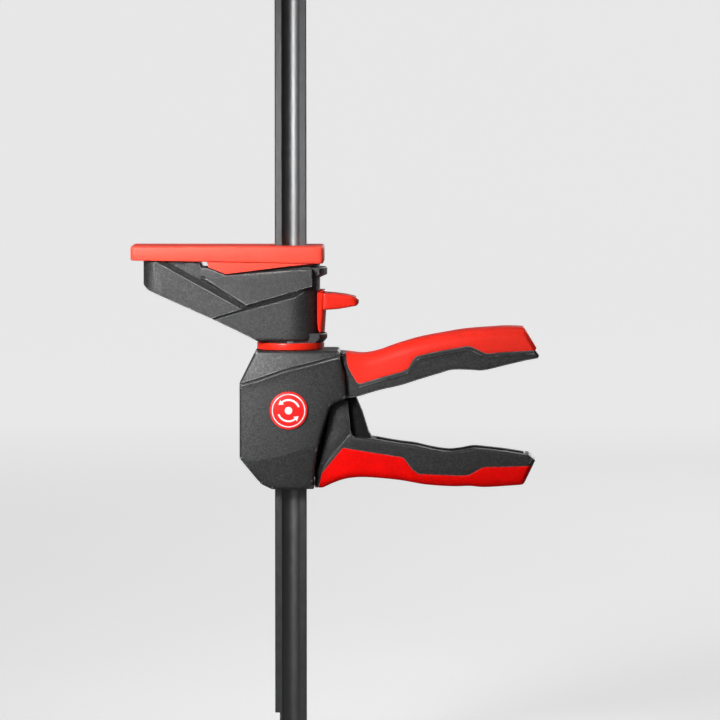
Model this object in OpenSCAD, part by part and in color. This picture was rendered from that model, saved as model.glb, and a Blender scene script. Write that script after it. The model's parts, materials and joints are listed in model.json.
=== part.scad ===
// Quick release bar clamp with a swivelling trigger handle, in millimetres.
// The rail stands on Z = 0 along +Z. The jaws reach towards -X and the handles towards +X.

/* [Rail] */
// Length of the rail
rail_len = 495; // [420:5:800]
// Width of the rail over its flanges
rail_w = 17.5; // [17.1:0.1:17.6]
// Thickness of the rail at its flanges
rail_t = 8.5; // [8:0.1:8.6]
// Width of the hollow along each broad face
groove_w = 10; // [9:0.1:12]
// Depth of that hollow
groove_d = 2; // [1.2:0.1:2.4]
// Height of the end stop at the foot of the rail
stop_h = 14; // [12:1:20]

/* [Jaws] */
// Opening between the pads as stored
opening = 155; // [40:1:290]
// Half depth of the jaws' main faces
jaw_half = 16.3; // [16:0.1:16.6]
// Half depth of the raised facet beside the pad
facet_half = 17.6; // [17.2:0.1:18]
// Half depth of the recessed jaw faces
recess_half = 15; // [14.4:0.1:15.4]
// Half depth of the soft pads
pad_half = 19; // [18:0.5:21]

/* [Handle] */
// Half depth of the handle housing
housing_half = 22; // [21.8:0.1:23]
// Wall of the housing shells
wall = 3; // [2.6:0.1:3]
// Half depth of the upper handle and the trigger
grip_half = 14; // [13.6:0.1:14.6]
// Thickness of each drive plate
drive_t = 2.6; // [2:0.1:2.7]

/* [Release] */
// Tilt of the brake plates when they grip
brake_tilt = 4.5; // [3.5:0.1:4.5]

/* [Hidden] */
$fn = 96;

// Overcut for clean subtractions
cut = 1;
// Clearance between parts that slide or turn on each other's flat faces
slip = 0.3;
// Radial running clearance of the swivel and the pins
run = 0.05;

// Heights inside the moving head are measured from the underside of the handle housing.
pad_face = 134.5;
jaw_base = 80.8;
housing_top = 76.8;
// Distance from the fixed pad's face to the end of the rail
jaw_grip = 46.5;
fixed_face_z = rail_len - jaw_grip;
head_z = fixed_face_z - opening - pad_face;
groove_r = (groove_w * groove_w / 4 + groove_d * groove_d) / (2 * groove_d);
rail_chamfer = 0.5;

// Rectangular hole that slides along the rail
slot_w = rail_w + 2 * slip;
slot_t = rail_t + 2 * slip;

// Notches in the rail's edge for the fixed jaw's lock, at both ends
notch_h = 6;
notch_d = 2.6;
lock_h = 100.5;
lock_z = fixed_face_z + pad_face - lock_h;
low_notch_z = 30;

// Side outline of the jaw body
jaw_side = [[-81.4, 126.2], [-50.5, 126], [-48.9, 122.4], [-45.5, 122.3], [-35.6, 118.4],
    [0, 121.2], [18, 122.5], [18, jaw_base + 1], [-17.9, jaw_base + 1], [-22.5, 84.3],
    [-44.6, 94.9], [-69.3, 105.9], [-78.8, 110.3], [-81.4, 113.2]];
// Large facet that runs from the tip down the jaw's sloped underside
tip_facet = [[-81.4, 126.2], [-73.8, 125.7], [-41.6, 107.8], [-25.4, 101.2], [-45.4, 95.2],
    [-69.3, 105.9], [-78.8, 110.3], [-81.4, 113.2]];
// Lower facet that wraps round the rail
root_facet = [[-44.4, 94.7], [-24.4, 100.6], [3.3, 107.4], [9.7, 110.6], [12, 122], [18, 122],
    [18, jaw_base + 1], [-17.9, jaw_base + 1], [-22.5, 84.3]];
// Raised facet under the pad
raised_facet = [[-46.9, 116.7], [-35.3, 117.9], [0, 121.2], [12, 122], [12, 112], [-23.9, 102.8]];
// Ridge of the jaw's top that carries the pad's keel
ridge = [[-34.9, 112], [-34.9, 118.3], [0, 122.7], [20, 124.6], [20, 112]];
ridge_half = 12;
// Half width of the two flanges at the jaw's back
flange_half = 12.4;
tip_r = 9;
tip_x = -81.4;

// Side outline of the soft pad with its keel
pad_side = [[-88.1, 126.6], [18.5, 124.9], [18.5, pad_face], [-88.1, pad_face]];
keel_side = [[-46.1, 126.5], [-45.2, 122.8], [-35.3, 119], [0, 123.4], [15.6, 124.9], [15.6, 126.5]];
keel_half = 16.6;
pad_corner = 3;

// Brake plates: they tip about the fulcrum pin under their left end
brake_x = -14;
brake_z = 97;
plate_t = 3;
plate_gap = 0.15;
fulcrum_z = 92;
fulcrum_r = 1.5;

// Outline of the housing and of the hollow inside it
housing_side = [[-19.1, housing_top], [-27.9, 59.1], [-27.9, 17.2], [-16.2, 3], [-10.2, 0],
    [13.1, 0], [12.7, 4.7], [13.9, 13.6], [15.3, 22.2], [18.2, 32.7], [22.7, 46.9],
    [31.3, 50.1], [30.2, 62], [27.3, housing_top]];
floor_h = 5.2;
hollow_side = [[-17.3, housing_top - wall], [-27.9 + wall, 58.4], [-27.9 + wall, 18.3],
    [-14.1, floor_h], [40, floor_h], [40, housing_top - wall]];
// Places of the housing screws, across the housing
screw_spots = [[-21.8, 58], [-21.8, 30], [-17.5, 8.5]];
root_screw = [23.5, 70.3];
screw_r = 1.5;
screw_head_r = 3;
// Round badge, sunk in the front of the housing
badge_x = -0.7;
badge_z = 44;
badge_r = 10.5;
badge_sink = 0.8;

// Trigger pivot, across the housing
pivot_x = 24.5;
pivot_z = 60;
hub_r = 4.5;
arm_in = 11.5;
arm_out = 14.5;
roller_in = 10.3;
roller_r = 2.4;
axle_r = 1.2;
pin_r = 2.5;
// The trigger's rollers press on the thrust ring here
drive_top = pivot_z - roller_r - slip;
thrust_t = 2.6;
drive_pitch = drive_t + 0.2;
drive_low = drive_top - thrust_t - 3 * drive_pitch;

// Line between the black core and the red grip of the upper handle
handle_split = [[30.9, 75.3], [31.4, 69.9], [32.6, 66.4], [36.9, 59], [38.5, 58.2], [49.4, 61.5],
    [61.1, 64.8], [64.2, 66], [65.8, 67.6], [68.1, 71.8], [70.1, 73.6], [76.7, 75.2], [83.2, 76.5],
    [98.1, 79.2], [100.8, 78.7], [107, 75.6], [108.7, 75.1], [120.2, 76], [135.5, 76.8]];
handle_top = [[136.3, 78], [129.3, 89.4], [120.2, 89.7], [111.7, 89.2], [103.2, 88.6],
    [94.7, 87.7], [83.2, 85.7], [76.7, 84.5], [70.8, 83.2], [63.1, 81], [57.2, 79.1],
    [51.3, 76.9], [45.5, 75.3], [39.7, 74.6], [31.2, 75.5]];
handle_bottom = [[137.8, 73.8], [136.8, 72.4], [120.2, 68.8], [109.6, 66.2], [104.9, 65.6],
    [98.9, 66], [89.6, 66], [83.2, 64.2], [72.8, 61.1], [61.1, 57.4], [49.4, 54.7],
    [37.7, 51.2], [33.4, 50.4], [30.6, 50], [29.6, 62], [29.6, 70], [28.2, 73.9], [27.8, 75.4]];
// Rib of the core inside the red grip
handle_rib = [[34, 70], [45, 70], [60, 74], [75, 78.5], [90, 82], [110, 84.5], [126, 84.5],
    [131, 79.5], [131, 75], [34, 58]];
rib_half = 8;

// Line between the trigger's black cover and its red grip
trigger_split = [[17.4, 8.3], [29.1, 22.6], [61.4, 17.5], [63.1, 16.7], [67.3, 10.9], [71, 8.1],
    [95.1, 7.2], [99.3, 7.6], [106.2, 11.6], [108.5, 12], [120, 12.2], [134.3, 12.7]];
trigger_top = [[135.7, 15.8], [130.6, 18.9], [120, 20.6], [108.5, 21.9], [101.6, 22.4],
    [94.7, 21.2], [87.8, 20.6], [78.6, 21.9], [69.3, 24], [59.2, 25.3], [46.5, 27.5],
    [35.4, 28.8], [33.5, 31.9], [25.2, 21.9], [17.2, 11.8], [14.6, 6.7], [13.6, 2.4],
    [13.6, 0.4], [15.4, 0.3], [16.3, 3.2]];
trigger_bottom = [[129.7, 3.1], [128.8, 2.1], [108.5, 0.6], [99.3, 1.2], [90, 1], [75, 2],
    [60, 4.5], [42.2, 6], [32.1, 5.4], [25.2, 3.4], [18.4, 0.3], [15.5, 0.3], [16.4, 3.2]];
// Rib of the trigger's neck inside its cover and grip
trigger_rib = [[26, 20], [40, 24], [60, 20], [80, 17], [128, 16.5], [128, 9], [105, 8], [75, 5],
    [40, 9], [24, 8]];
trigger_rib_half = 6;
// Flat side plates and middle web of the trigger's neck
neck_plate = [[14.8, 7.2], [17.2, 11.8], [25.2, 21.9], [33.5, 31.9], [31.8, 48.5], [25.2, 50],
    [22, 49], [21.6, 40], [19.7, 27.9], [16.7, 15.2], [15, 8.8]];
neck_web = [[24, 8], [40, 9], [48, 22], [45.1, 27.9], [43.1, 31.4], [39.6, 42.7], [36.5, 50],
    [30, 56], [20.6, 56], [19.5, 54], [18.1, 46], [18.1, 42], [15.2, 34], [13.4, 30], [13.4, 13],
    [13.8, 10.2], [13.8, 5.4], [13.4, 5], [13.5, 1], [15.5, 1]];
// Open channel along the top of the trigger's cover
channel = [[49, 30], [49, 24.6], [59.2, 22.8], [69.3, 21.5], [78.6, 19.4], [87.8, 18.1], [94.7, 18.7],
    [101.6, 19.9], [108.5, 19.4], [120, 18.1], [127.5, 17.1], [129, 19], [129, 30]];
channel_half = 6.5;
plate_half = 12;
web_half = 7;

// A side outline (x, z) made into a slab from y_low to y_high.
module side_slab(points, y_low, y_high) {
    translate([0, y_high, 0])
        rotate([90, 0, 0])
            linear_extrude(y_high - y_low)
                polygon(points);
}

// A side outline made into a slab of equal depth to both sides.
module side_plate(points, half) {
    side_slab(points, -half, half);
}

// A box given by its two corners.
module block(low, high) {
    translate(low)
        cube(high - low);
}

// A round bar along Y at (x, z), from y_low to y_high.
module cross_bar(x, z, r, y_low, y_high) {
    translate([x, y_high, z])
        rotate([90, 0, 0])
            cylinder(r = r, h = y_high - y_low);
}

// A ring or a disc round the rail's axis.
module turned(r, low, high) {
    translate([0, 0, low])
        cylinder(r = r, h = high - low);
}

// A box with upright corners rounded to radius r.
module rounded_block(low, high, r) {
    block([low[0] + r, low[1], low[2]], [high[0] - r, high[1], high[2]]);
    block([low[0], low[1] + r, low[2]], [high[0], high[1] - r, high[2]]);
    for (x = [low[0] + r, high[0] - r], y = [low[1] + r, high[1] - r])
        translate([x, y, low[2]])
            cylinder(r = r, h = high[2] - low[2]);
}

// The hole that the rail passes through.
module rail_slot(low, high) {
    block([-slot_w / 2, -slot_t / 2, low], [slot_w / 2, slot_t / 2, high]);
}

// Places a part in the moving head, where heights start at the housing's underside.
module in_head() {
    translate([0, 0, head_z])
        children();
}

// Places a part of the same jaw shape upside down, as the fixed jaw.
module in_fixed_jaw() {
    translate([0, 0, fixed_face_z + pad_face])
        mirror([0, 0, 1])
            children();
}

// A coil spring of round wire, standing on z = 0.
module coil(mean_r, wire_r, height, turns, sides = 6, steps = 18) {
    rings = turns * steps;
    rise = (height - 2 * wire_r) / rings;
    points = [for (i = [0 : rings], j = [0 : sides - 1])
        let (turn = 360 * i / steps, side = 360 * j / sides, r = mean_r + wire_r * cos(side))
        [r * cos(turn), r * sin(turn), wire_r + rise * i + wire_r * sin(side)]];
    skin = [for (i = [0 : rings - 1], j = [0 : sides - 1])
        let (a = i * sides + j, b = i * sides + (j + 1) % sides)
        each [[a, b, b + sides], [a, b + sides, a + sides]]];
    first_end = [for (j = [0 : sides - 1]) sides - 1 - j];
    last_end = [for (j = [0 : sides - 1]) rings * sides + j];
    polyhedron(points, concat(skin, [first_end, last_end]));
}

// --- Rail -------------------------------------------------------------------

module rail() {
    half_w = rail_w / 2;
    half_t = rail_t / 2;
    color("dimgray")
    difference() {
        linear_extrude(rail_len)
            polygon([for (corner = [[1, 1], [-1, 1], [-1, -1], [1, -1]])
                let (x = corner[0] * half_w, y = corner[1] * half_t,
                    dx = corner[0] * rail_chamfer, dy = corner[1] * rail_chamfer)
                each corner[0] * corner[1] > 0
                    ? [[x, y - dy], [x - dx, y]]
                    : [[x - dx, y], [x, y - dy]]]);
        for (side = [-1, 1])
            translate([0, side * (half_t - groove_d + groove_r), -cut])
                cylinder(r = groove_r, h = rail_len + 2 * cut);
        for (z = [low_notch_z, lock_z])
            block([-half_w - cut, -half_t - cut, z - notch_h / 2],
                [-half_w + notch_d, half_t + cut, z + notch_h / 2]);
        cross_bar(0, stop_h / 2, 2, -half_t - cut, half_t + cut);
    }
}

module end_stop() {
    color("darkslategray")
    difference() {
        rounded_block([-16, -11, 0], [16, 11, stop_h], 5);
        block([-rail_w / 2 - 0.1, -rail_t / 2 - 0.1, -cut],
            [rail_w / 2 + 0.1, rail_t / 2 + 0.1, stop_h + cut]);
        cross_bar(0, stop_h / 2, 2, -12, 12);
    }
}

module end_stop_pin() {
    color("silver")
        cross_bar(0, stop_h / 2, 2, -10.5, 10.5);
}

// --- Jaws -------------------------------------------------------------------

// Plan outline of a jaw body: round corners at the tip, a half round behind the rail.
module jaw_plan(half, reach = 0) {
    intersection() {
        union() {
            rounded_block([tip_x, -half, jaw_base], [2, half, 130], tip_r);
            block([-20, -half, jaw_base], [0, half, 130]);
            turned(jaw_half + reach, jaw_base, 130);
        }
        block([tip_x, -half, jaw_base], [30, half, 130]);
    }
}

// The jaw body's outside, shared by both jaws.
module jaw_form() {
    intersection() {
        side_plate(jaw_side, recess_half);
        jaw_plan(recess_half);
    }
    intersection() {
        union() {
            side_plate(tip_facet, jaw_half);
            side_plate(root_facet, jaw_half);
        }
        jaw_plan(jaw_half);
    }
    side_plate(raised_facet, facet_half);
    intersection() {
        side_plate(ridge, ridge_half);
        jaw_plan(ridge_half);
    }
    // Collar at the base and the flange beside the pad
    intersection() {
        rotate_extrude()
            polygon([[0, jaw_base], [17.6, jaw_base], [18.4, 83], [0, 83]]);
        block([-20, -jaw_half - 0.4, 70], [30, jaw_half + 0.4, 90]);
    }
    intersection() {
        rotate_extrude()
            polygon([[0, 116.7], [jaw_half, 116.7], [20.3, 118.6], [20.3, 122.5], [0, 122.5]]);
        block([0, -flange_half, 110], [30, flange_half, 130]);
    }
}

// The flange under the release lever, with the pocket that its lower end dips into.
module lever_flange() {
    difference() {
        intersection() {
            rotate_extrude()
                polygon([[0, jaw_base], [18.7, jaw_base], [20.3, 83.1], [20.3, 85.9], [0, 85.9]]);
            block([0, -flange_half, 70], [30, flange_half, 90]);
        }
        difference() {
            block([10, -9.8, 83.3], [30, 9.8, 90]);
            turned(jaw_half, 80, 91);
            difference() {
                turned(30, 80, 91);
                turned(19.3, 79, 92);
            }
        }
    }
}

module pad_pocket() {
    block([-73.7, -6, 119.3], [-58.3, 6, 130]);
}

module moving_jaw_body() {
    color("darkslategray")
    in_head()
    difference() {
        union() {
            jaw_form();
            lever_flange();
        }
        pad_pocket();
        rail_slot(70, 130);
        // Brake chamber and its window towards the release lever
        rounded_block([-16.5, -12, 88], [12, 12, 105], 4.2);
        block([10, -5.8, 90.8], [22, 5.8, 105]);
        // Seat of the upper guide bush
        block([-11.6, -7.3, 107.9], [11.6, 7.3, 130]);
        // Socket of the swivel neck and its screw holes
        turned(12.6, 70, 85);
        for (y = [-8.5, 8.5])
            translate([0, y, 70])
                cylinder(r = 1.7, h = 25);
        cross_bar(brake_x, fulcrum_z, fulcrum_r, -13.5, jaw_half + cut);
    }
}

module soft_pad() {
    difference() {
        union() {
            intersection() {
                side_plate(pad_side, pad_half);
                rounded_block([-88.1, -pad_half, 120], [18.5, pad_half, 140], pad_corner);
            }
            side_plate(keel_side, keel_half);
            block([-73.5, -5.8, 119.5], [-58.5, 5.8, 128]);
        }
        rail_slot(110, 140);
    }
}

module moving_pad() {
    color("red")
    in_head()
        soft_pad();
}

module fixed_jaw_body() {
    color("darkslategray")
    in_fixed_jaw()
    difference() {
        jaw_form();
        pad_pocket();
        block([-rail_w / 2 - 0.1, -rail_t / 2 - 0.1, pad_face - jaw_grip],
            [rail_w / 2 + 0.1, rail_t / 2 + 0.1, 130]);
        // Channel of the lock button, open at the back
        block([-26, -8.2, lock_h - 3.9], [22, 8.2, lock_h + 3.9]);
    }
}

module fixed_pad() {
    color("red")
    in_fixed_jaw()
        soft_pad();
}

// Push button whose fork straddles the rail and hooks into the notch on its far edge.
module lock_button() {
    color("red")
    in_fixed_jaw() {
        rounded_block([12, -7.8, lock_h - 3.5], [20.3, 7.8, lock_h + 3.5], 2);
        for (side = [-1, 1])
            block([-16, side * 6.3 - 1.3, lock_h - 2.6], [15, side * 6.3 + 1.3, lock_h + 2.6]);
        block([-16, -7.6, lock_h - 2.6], [-12.2, 7.6, lock_h + 2.6]);
        block([-12.4, -3.6, lock_h - 2.6], [-rail_w / 2 + notch_d - 0.3, 3.6, lock_h + 2.6]);
    }
}

module lock_spring() {
    color("silver")
    in_fixed_jaw()
    translate([-25.9, 0, lock_h])
        rotate([0, 90, 0])
            coil(2.2, 0.4, 9.8, 6);
}

// --- Parts of the moving jaw --------------------------------------------------

module upper_guide_bush() {
    color("gray")
    in_head()
    difference() {
        block([-11.5, -7.2, 108], [11.5, 7.2, 120.6]);
        rail_slot(100, 130);
    }
}

module brake_fulcrum_pin() {
    color("silver")
    in_head()
        cross_bar(brake_x, fulcrum_z, fulcrum_r, -13.4, jaw_half);
}

module brake_springs() {
    color("silver")
    in_head()
    for (y = [-8.5, 8.5])
        translate([7, y, 88.1])
            coil(2.2, 0.4, 7, 4);
}

module swivel_neck() {
    color("gray")
    in_head()
    difference() {
        union() {
            turned(12.5, 72, 84.9);
            turned(15, 72, jaw_base);
            turned(16.8, 68.5, housing_top - wall - slip);
        }
        rail_slot(60, 90);
        for (y = [-8.5, 8.5])
            translate([0, y, 74])
                cylinder(r = 1.5, h = 20);
    }
}

module neck_screws() {
    color("silver")
    in_head()
    for (y = [-8.5, 8.5])
        translate([0, y, 0]) {
            translate([0, 0, 76])
                cylinder(r = 1.45, h = 12.2);
            translate([0, 0, 88.05])
                cylinder(r = 2.7, h = 1.8);
        }
}

module swivel_ring() {
    color("red")
    in_head()
    difference() {
        turned(18.7, housing_top + 0.2, jaw_base);
        turned(15.05, 70, 90);
    }
}

module lower_guide_bush() {
    color("gray")
    in_head()
    difference() {
        union() {
            turned(11.2, 0.3, 6);
            turned(13.3, floor_h + slip, 10);
        }
        rail_slot(-5, 20);
    }
}

module return_spring() {
    color("silver")
    in_head()
    translate([0, 0, 10.1])
        coil(11.2, 0.85, drive_low - 10.3, 6, 8, 24);
}

// --- Brake ----------------------------------------------------------------------

// Two tipped steel plates with a hole round the rail.
module brake_plates() {
    color("silver")
    in_head()
    translate([brake_x, 0, brake_z])
        rotate([0, -brake_tilt, 0])
            for (low = [-plate_t - plate_gap, plate_gap])
                difference() {
                    union() {
                        rounded_block([-1.2, -11, low], [25.6, 11, low + plate_t], 3.5);
                        block([25, -3, low], [31.2, 3, low + plate_t]);
                    }
                    block([4.4, -slot_t / 2, low - cut], [23.35, slot_t / 2, low + plate_t + cut]);
                }
}

module release_lever() {
    tab_side = [[17.8, 108.4], [24, 108.1], [31, 107.2], [36.2, 106], [37.6, 105], [37.9, 103.4],
        [37.6, 102], [36.4, 101.1], [27, 99.4], [17.8, 98.7]];
    color("red")
    in_head()
    difference() {
        union() {
            // Curved strip behind the jaw
            intersection() {
                rotate_extrude()
                    polygon([[17.7, 86.2], [18.9, 86.2], [20.1, 104], [20.1, 108.6], [19, 109.9],
                        [17.2, 109.9], [17.2, 92]]);
                block([0, -8.6, 80], [30, 8.6, 115]);
            }
            // Thumb tab
            intersection() {
                side_plate(tab_side, 8.6);
                rounded_block([10, -8.6, 90], [37.9, 8.6, 115], 4);
            }
            // Root that holds the brake plates
            block([14.2, -5.2, 93.6], [18.6, 5.2, 104.6]);
        }
        translate([brake_x, 0, brake_z])
            rotate([0, -brake_tilt, 0])
                block([20, -3.2, -plate_t - 0.4], [31.5, 3.2, plate_t + 0.4]);
    }
}

// --- Drive ------------------------------------------------------------------------

module thrust_ring() {
    color("silver")
    in_head()
    difference() {
        turned(17, drive_top - thrust_t, drive_top);
        turned(10.2, 40, 70);
    }
}

module drive_plates() {
    color("silver")
    in_head()
    for (i = [0 : 2]) {
        low = drive_low + i * drive_pitch;
        difference() {
            rounded_block([-14.6, -11, low], [14.6, 11, low + drive_t], 1.5);
            rail_slot(30, 70);
        }
    }
}

// --- Housing and upper handle -------------------------------------------------------

// Holes for the housing screws: a clearance or pilot hole of radius r.
module screw_holes(r, y_low, y_high) {
    for (spot = concat(screw_spots, [root_screw]))
        cross_bar(spot[0], spot[1], r, y_low, y_high);
}

// One housing shell on the -Y side: a hollow cover with posts for its screws.
module shell_form() {
    difference() {
        union() {
            difference() {
                side_slab(housing_side, -housing_half, -0.05);
                side_slab(hollow_side, -housing_half + wall, 1);
            }
            intersection() {
                for (spot = screw_spots)
                    cross_bar(spot[0], spot[1], 2.8, -housing_half + 1, -0.05);
                side_slab(housing_side, -housing_half, 0);
            }
        }
        turned(15 + run, 60, 90);
        turned(11.2 + run, -5, 20);
    }
}

module housing_front() {
    color("darkslategray")
    in_head()
    difference() {
        shell_form();
        screw_holes(screw_r, -18, 5);
        cross_bar(badge_x, badge_z, badge_r + 0.2, -housing_half - cut, -housing_half + badge_sink);
    }
}

module housing_rear() {
    color("darkslategray")
    in_head()
    difference() {
        mirror([0, 1, 0])
            shell_form();
        screw_holes(screw_r + 0.2, -5, 30);
        screw_holes(screw_head_r + 0.3, housing_half - 2, 30);
    }
}

module housing_screws() {
    color("silver")
    in_head()
    for (spot = concat(screw_spots, [root_screw])) {
        cross_bar(spot[0], spot[1], screw_r - run, -16, housing_half - 1.9);
        cross_bar(spot[0], spot[1], screw_head_r, housing_half - 2, housing_half - 0.2);
    }
}

module badge() {
    color("red")
    in_head()
        cross_bar(badge_x, badge_z, badge_r, -housing_half - 0.3, -housing_half + badge_sink);
}

module handle_core() {
    color("darkslategray")
    in_head()
    difference() {
        union() {
            side_plate(concat(handle_split, handle_bottom), grip_half - 0.2);
            side_plate(handle_rib, rib_half);
            // Root block and the two ears that hold the trigger's pin
            block([19.4, -18.8, 66.8], [27, 18.8, 73.6]);
            block([19.4, -grip_half, 66.8], [31, grip_half, 73.6]);
            for (side = [-1, 1])
                block([17.5, side * 17 - 1.7, 51], [28.3, side * 17 + 1.7, 70]);
        }
        // Room for the trigger's neck as it swings
        block([18, -15.1, 40], [29.4, 15.1, 66.6]);
        block([28, -plate_half - 0.4, 40], [38.4, plate_half + 0.4, 55]);
        block([28, -web_half - 0.5, 40], [42.4, web_half + 0.5, 60]);
        cross_bar(pivot_x, pivot_z, pin_r, -20, 20);
        cross_bar(root_screw[0], root_screw[1], screw_r + 0.2, -20, 20);
    }
}

module handle_grip() {
    color("red")
    in_head()
    difference() {
        side_plate(concat(handle_split, handle_top), grip_half);
        side_plate(handle_rib, rib_half + 0.02);
    }
}

module trigger_pin() {
    color("silver")
    in_head()
        cross_bar(pivot_x, pivot_z, pin_r, -18.7, 18.7);
}

// --- Trigger ------------------------------------------------------------------------

// Steel fork: two arms that reach past the rail, joined at the hub.
module trigger_fork() {
    color("gray")
    in_head()
    difference() {
        union() {
            for (side = [-1, 1]) {
                low = side < 0 ? -arm_out : arm_in;
                side_slab([[0, pivot_z - 2.1], [14, pivot_z - 2.1], [pivot_x, pivot_z - 3.6],
                    [pivot_x, pivot_z + 4], [0, pivot_z + 2.4]], low, low + arm_out - arm_in);
                cross_bar(0, pivot_z, 2.2, low, low + arm_out - arm_in);
            }
            cross_bar(pivot_x, pivot_z, hub_r, -arm_out, arm_out);
            side_plate([[20.8, 57], [28.2, 57], [30, 38], [24, 38]], 2.5);
        }
        cross_bar(pivot_x, pivot_z, pin_r + run, -20, 20);
        cross_bar(0, pivot_z, axle_r, -20, 20);
    }
}

module fork_rollers() {
    color("silver")
    in_head()
    for (side = [-1, 1]) {
        low = side < 0 ? -arm_out : roller_in;
        face = side < 0 ? -arm_in : roller_in;
        cross_bar(0, pivot_z, roller_r, face, face + arm_in - roller_in);
        cross_bar(0, pivot_z, axle_r, low, low + arm_out - roller_in);
    }
}

module trigger_neck() {
    color("dimgray")
    in_head()
    difference() {
        union() {
            side_plate(neck_plate, plate_half);
            side_plate(neck_web, web_half);
            side_plate(trigger_rib, trigger_rib_half);
        }
        // Seat of the steel fork
        cross_bar(pivot_x, pivot_z, hub_r + 0.05, -20, 20);
        side_plate([[20.75, 57], [28.25, 57], [30.05, 37.9], [23.95, 37.9]], 2.55);
    }
}

// The cover's outline, as a slab from y_low to y_high round the neck's rib.
module trigger_cover(y_low, y_high) {
    difference() {
        side_slab(concat(trigger_split, trigger_top), y_low, y_high);
        side_plate(trigger_rib, trigger_rib_half + 0.02);
        side_plate(neck_web, web_half + 0.02);
        side_plate(channel, channel_half);
    }
}

module trigger_cover_front() {
    color("darkslategray")
    in_head()
        trigger_cover(-grip_half, -0.2);
}

module trigger_cover_rear() {
    color("darkslategray")
    in_head()
        trigger_cover(0.2, grip_half);
}

module trigger_grip() {
    color("red")
    in_head()
    difference() {
        side_plate(concat(trigger_split, trigger_bottom), grip_half);
        side_plate(trigger_rib, trigger_rib_half + 0.02);
        side_plate(neck_web, web_half + 0.02);
    }
}

rail();
end_stop();
end_stop_pin();
fixed_jaw_body();
fixed_pad();
lock_button();
lock_spring();
moving_jaw_body();
moving_pad();
upper_guide_bush();
brake_fulcrum_pin();
brake_springs();
swivel_neck();
neck_screws();
swivel_ring();
lower_guide_bush();
return_spring();
brake_plates();
release_lever();
thrust_ring();
drive_plates();
housing_front();
housing_rear();
housing_screws();
handle_core();
handle_grip();
trigger_pin();
badge();
trigger_fork();
fork_rollers();
trigger_neck();
trigger_cover_front();
trigger_cover_rear();
trigger_grip();
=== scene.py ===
"""Quick release bar clamp: the looks of every piece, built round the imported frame.

Lengths are millimetres in the clamp's own axes until finish_mesh() turns them into metres, except
for the camera, the lamps and the floor. Heights inside the two jaws and the handle are counted from
the underside of the handle housing.
"""
import json
import math

import bmesh
import bpy
import numpy as np
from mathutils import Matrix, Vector
from mathutils.geometry import delaunay_2d_cdt


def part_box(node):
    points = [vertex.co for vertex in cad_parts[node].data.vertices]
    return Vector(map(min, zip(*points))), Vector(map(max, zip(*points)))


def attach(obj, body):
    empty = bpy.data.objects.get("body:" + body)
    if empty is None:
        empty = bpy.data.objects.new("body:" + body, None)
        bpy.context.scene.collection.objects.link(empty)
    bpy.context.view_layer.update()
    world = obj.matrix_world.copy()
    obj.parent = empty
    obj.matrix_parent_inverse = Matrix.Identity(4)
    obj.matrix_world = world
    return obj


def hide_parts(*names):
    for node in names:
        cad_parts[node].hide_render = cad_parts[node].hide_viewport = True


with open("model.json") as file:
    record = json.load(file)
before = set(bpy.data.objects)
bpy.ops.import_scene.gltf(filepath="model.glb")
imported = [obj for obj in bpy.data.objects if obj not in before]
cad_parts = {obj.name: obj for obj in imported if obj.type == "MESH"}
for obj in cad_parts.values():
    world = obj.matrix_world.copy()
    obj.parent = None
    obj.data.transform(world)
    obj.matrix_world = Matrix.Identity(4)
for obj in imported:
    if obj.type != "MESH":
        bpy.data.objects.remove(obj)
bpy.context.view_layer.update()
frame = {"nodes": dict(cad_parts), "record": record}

MM = 0.001
SHARP_EDGE = math.radians(32)
HEAD_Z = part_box("housing_front")[0].z / MM
FIXED_FACE_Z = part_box("fixed_pad")[0].z / MM
PAD_FACE = 134.5
JAW_BASE = 80.8
HOUSING_TOP = 76.8
# Half sizes of the rail's hole, with room to slide and fitted
RAIL_ROOM = (9.05, 4.55)
RAIL_FIT = (8.85, 4.35)


# --- Shape tools ---

def in_head(x, y, h):
    """A point of the moving head, at height h over the housing's underside."""
    return x, y, HEAD_Z + h


def in_fixed_jaw(x, y, h):
    """The same point in the fixed jaw, which is the same form upside down."""
    return x, y, FIXED_FACE_Z + PAD_FACE - h


def in_half(sign):
    """in_head for the front half (sign 1), or mirrored for the back half (sign -1)."""
    return lambda x, y, h: in_head(x, sign * y, h)


def on_floor(x, y, h):
    """A point at height h over the floor."""
    return x, y, h


def finish_mesh(name, bm):
    """A Blender object from a bmesh whose points are in millimetres."""
    bmesh.ops.scale(bm, vec=(MM, MM, MM), verts=bm.verts)
    bmesh.ops.recalc_face_normals(bm, faces=bm.faces)
    return link_mesh(name, bm)


def link_mesh(name, bm):
    """A smooth-shaded object from a bmesh, which is used up."""
    data = bpy.data.meshes.new(name)
    bm.to_mesh(data)
    bm.free()
    piece = bpy.data.objects.new(name, data)
    bpy.context.scene.collection.objects.link(piece)
    return shade(piece)


def shade(piece):
    """Smooth shading that keeps the sharp edges."""
    piece.data.shade_smooth()
    piece.data.set_sharp_from_angle(angle=SHARP_EDGE)
    return piece


def segment_distance(p, a, b):
    """Distance from p to the segment from a to b."""
    dx = b[0] - a[0]
    dy = b[1] - a[1]
    length = dx * dx + dy * dy
    t = 0 if length == 0 else ((p[0] - a[0]) * dx + (p[1] - a[1]) * dy) / length
    t = min(1, max(0, t))
    return math.hypot(p[0] - a[0] - t * dx, p[1] - a[1] - t * dy)


def edges_of(loop):
    """A closed loop's edges."""
    return zip(loop, loop[1:] + loop[:1])


def corners_of(loop):
    """Each corner of a closed loop between its neighbours."""
    return zip(loop[-1:] + loop[:-1], loop, loop[1:] + loop[:1])


def loop_distance(p, loop):
    """Distance from p to a closed loop."""
    return line_distance(p, loop + loop[:1])


def line_distance(p, line):
    """Distance from p to an open line."""
    return min(segment_distance(p, a, b) for a, b in zip(line, line[1:]))


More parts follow.
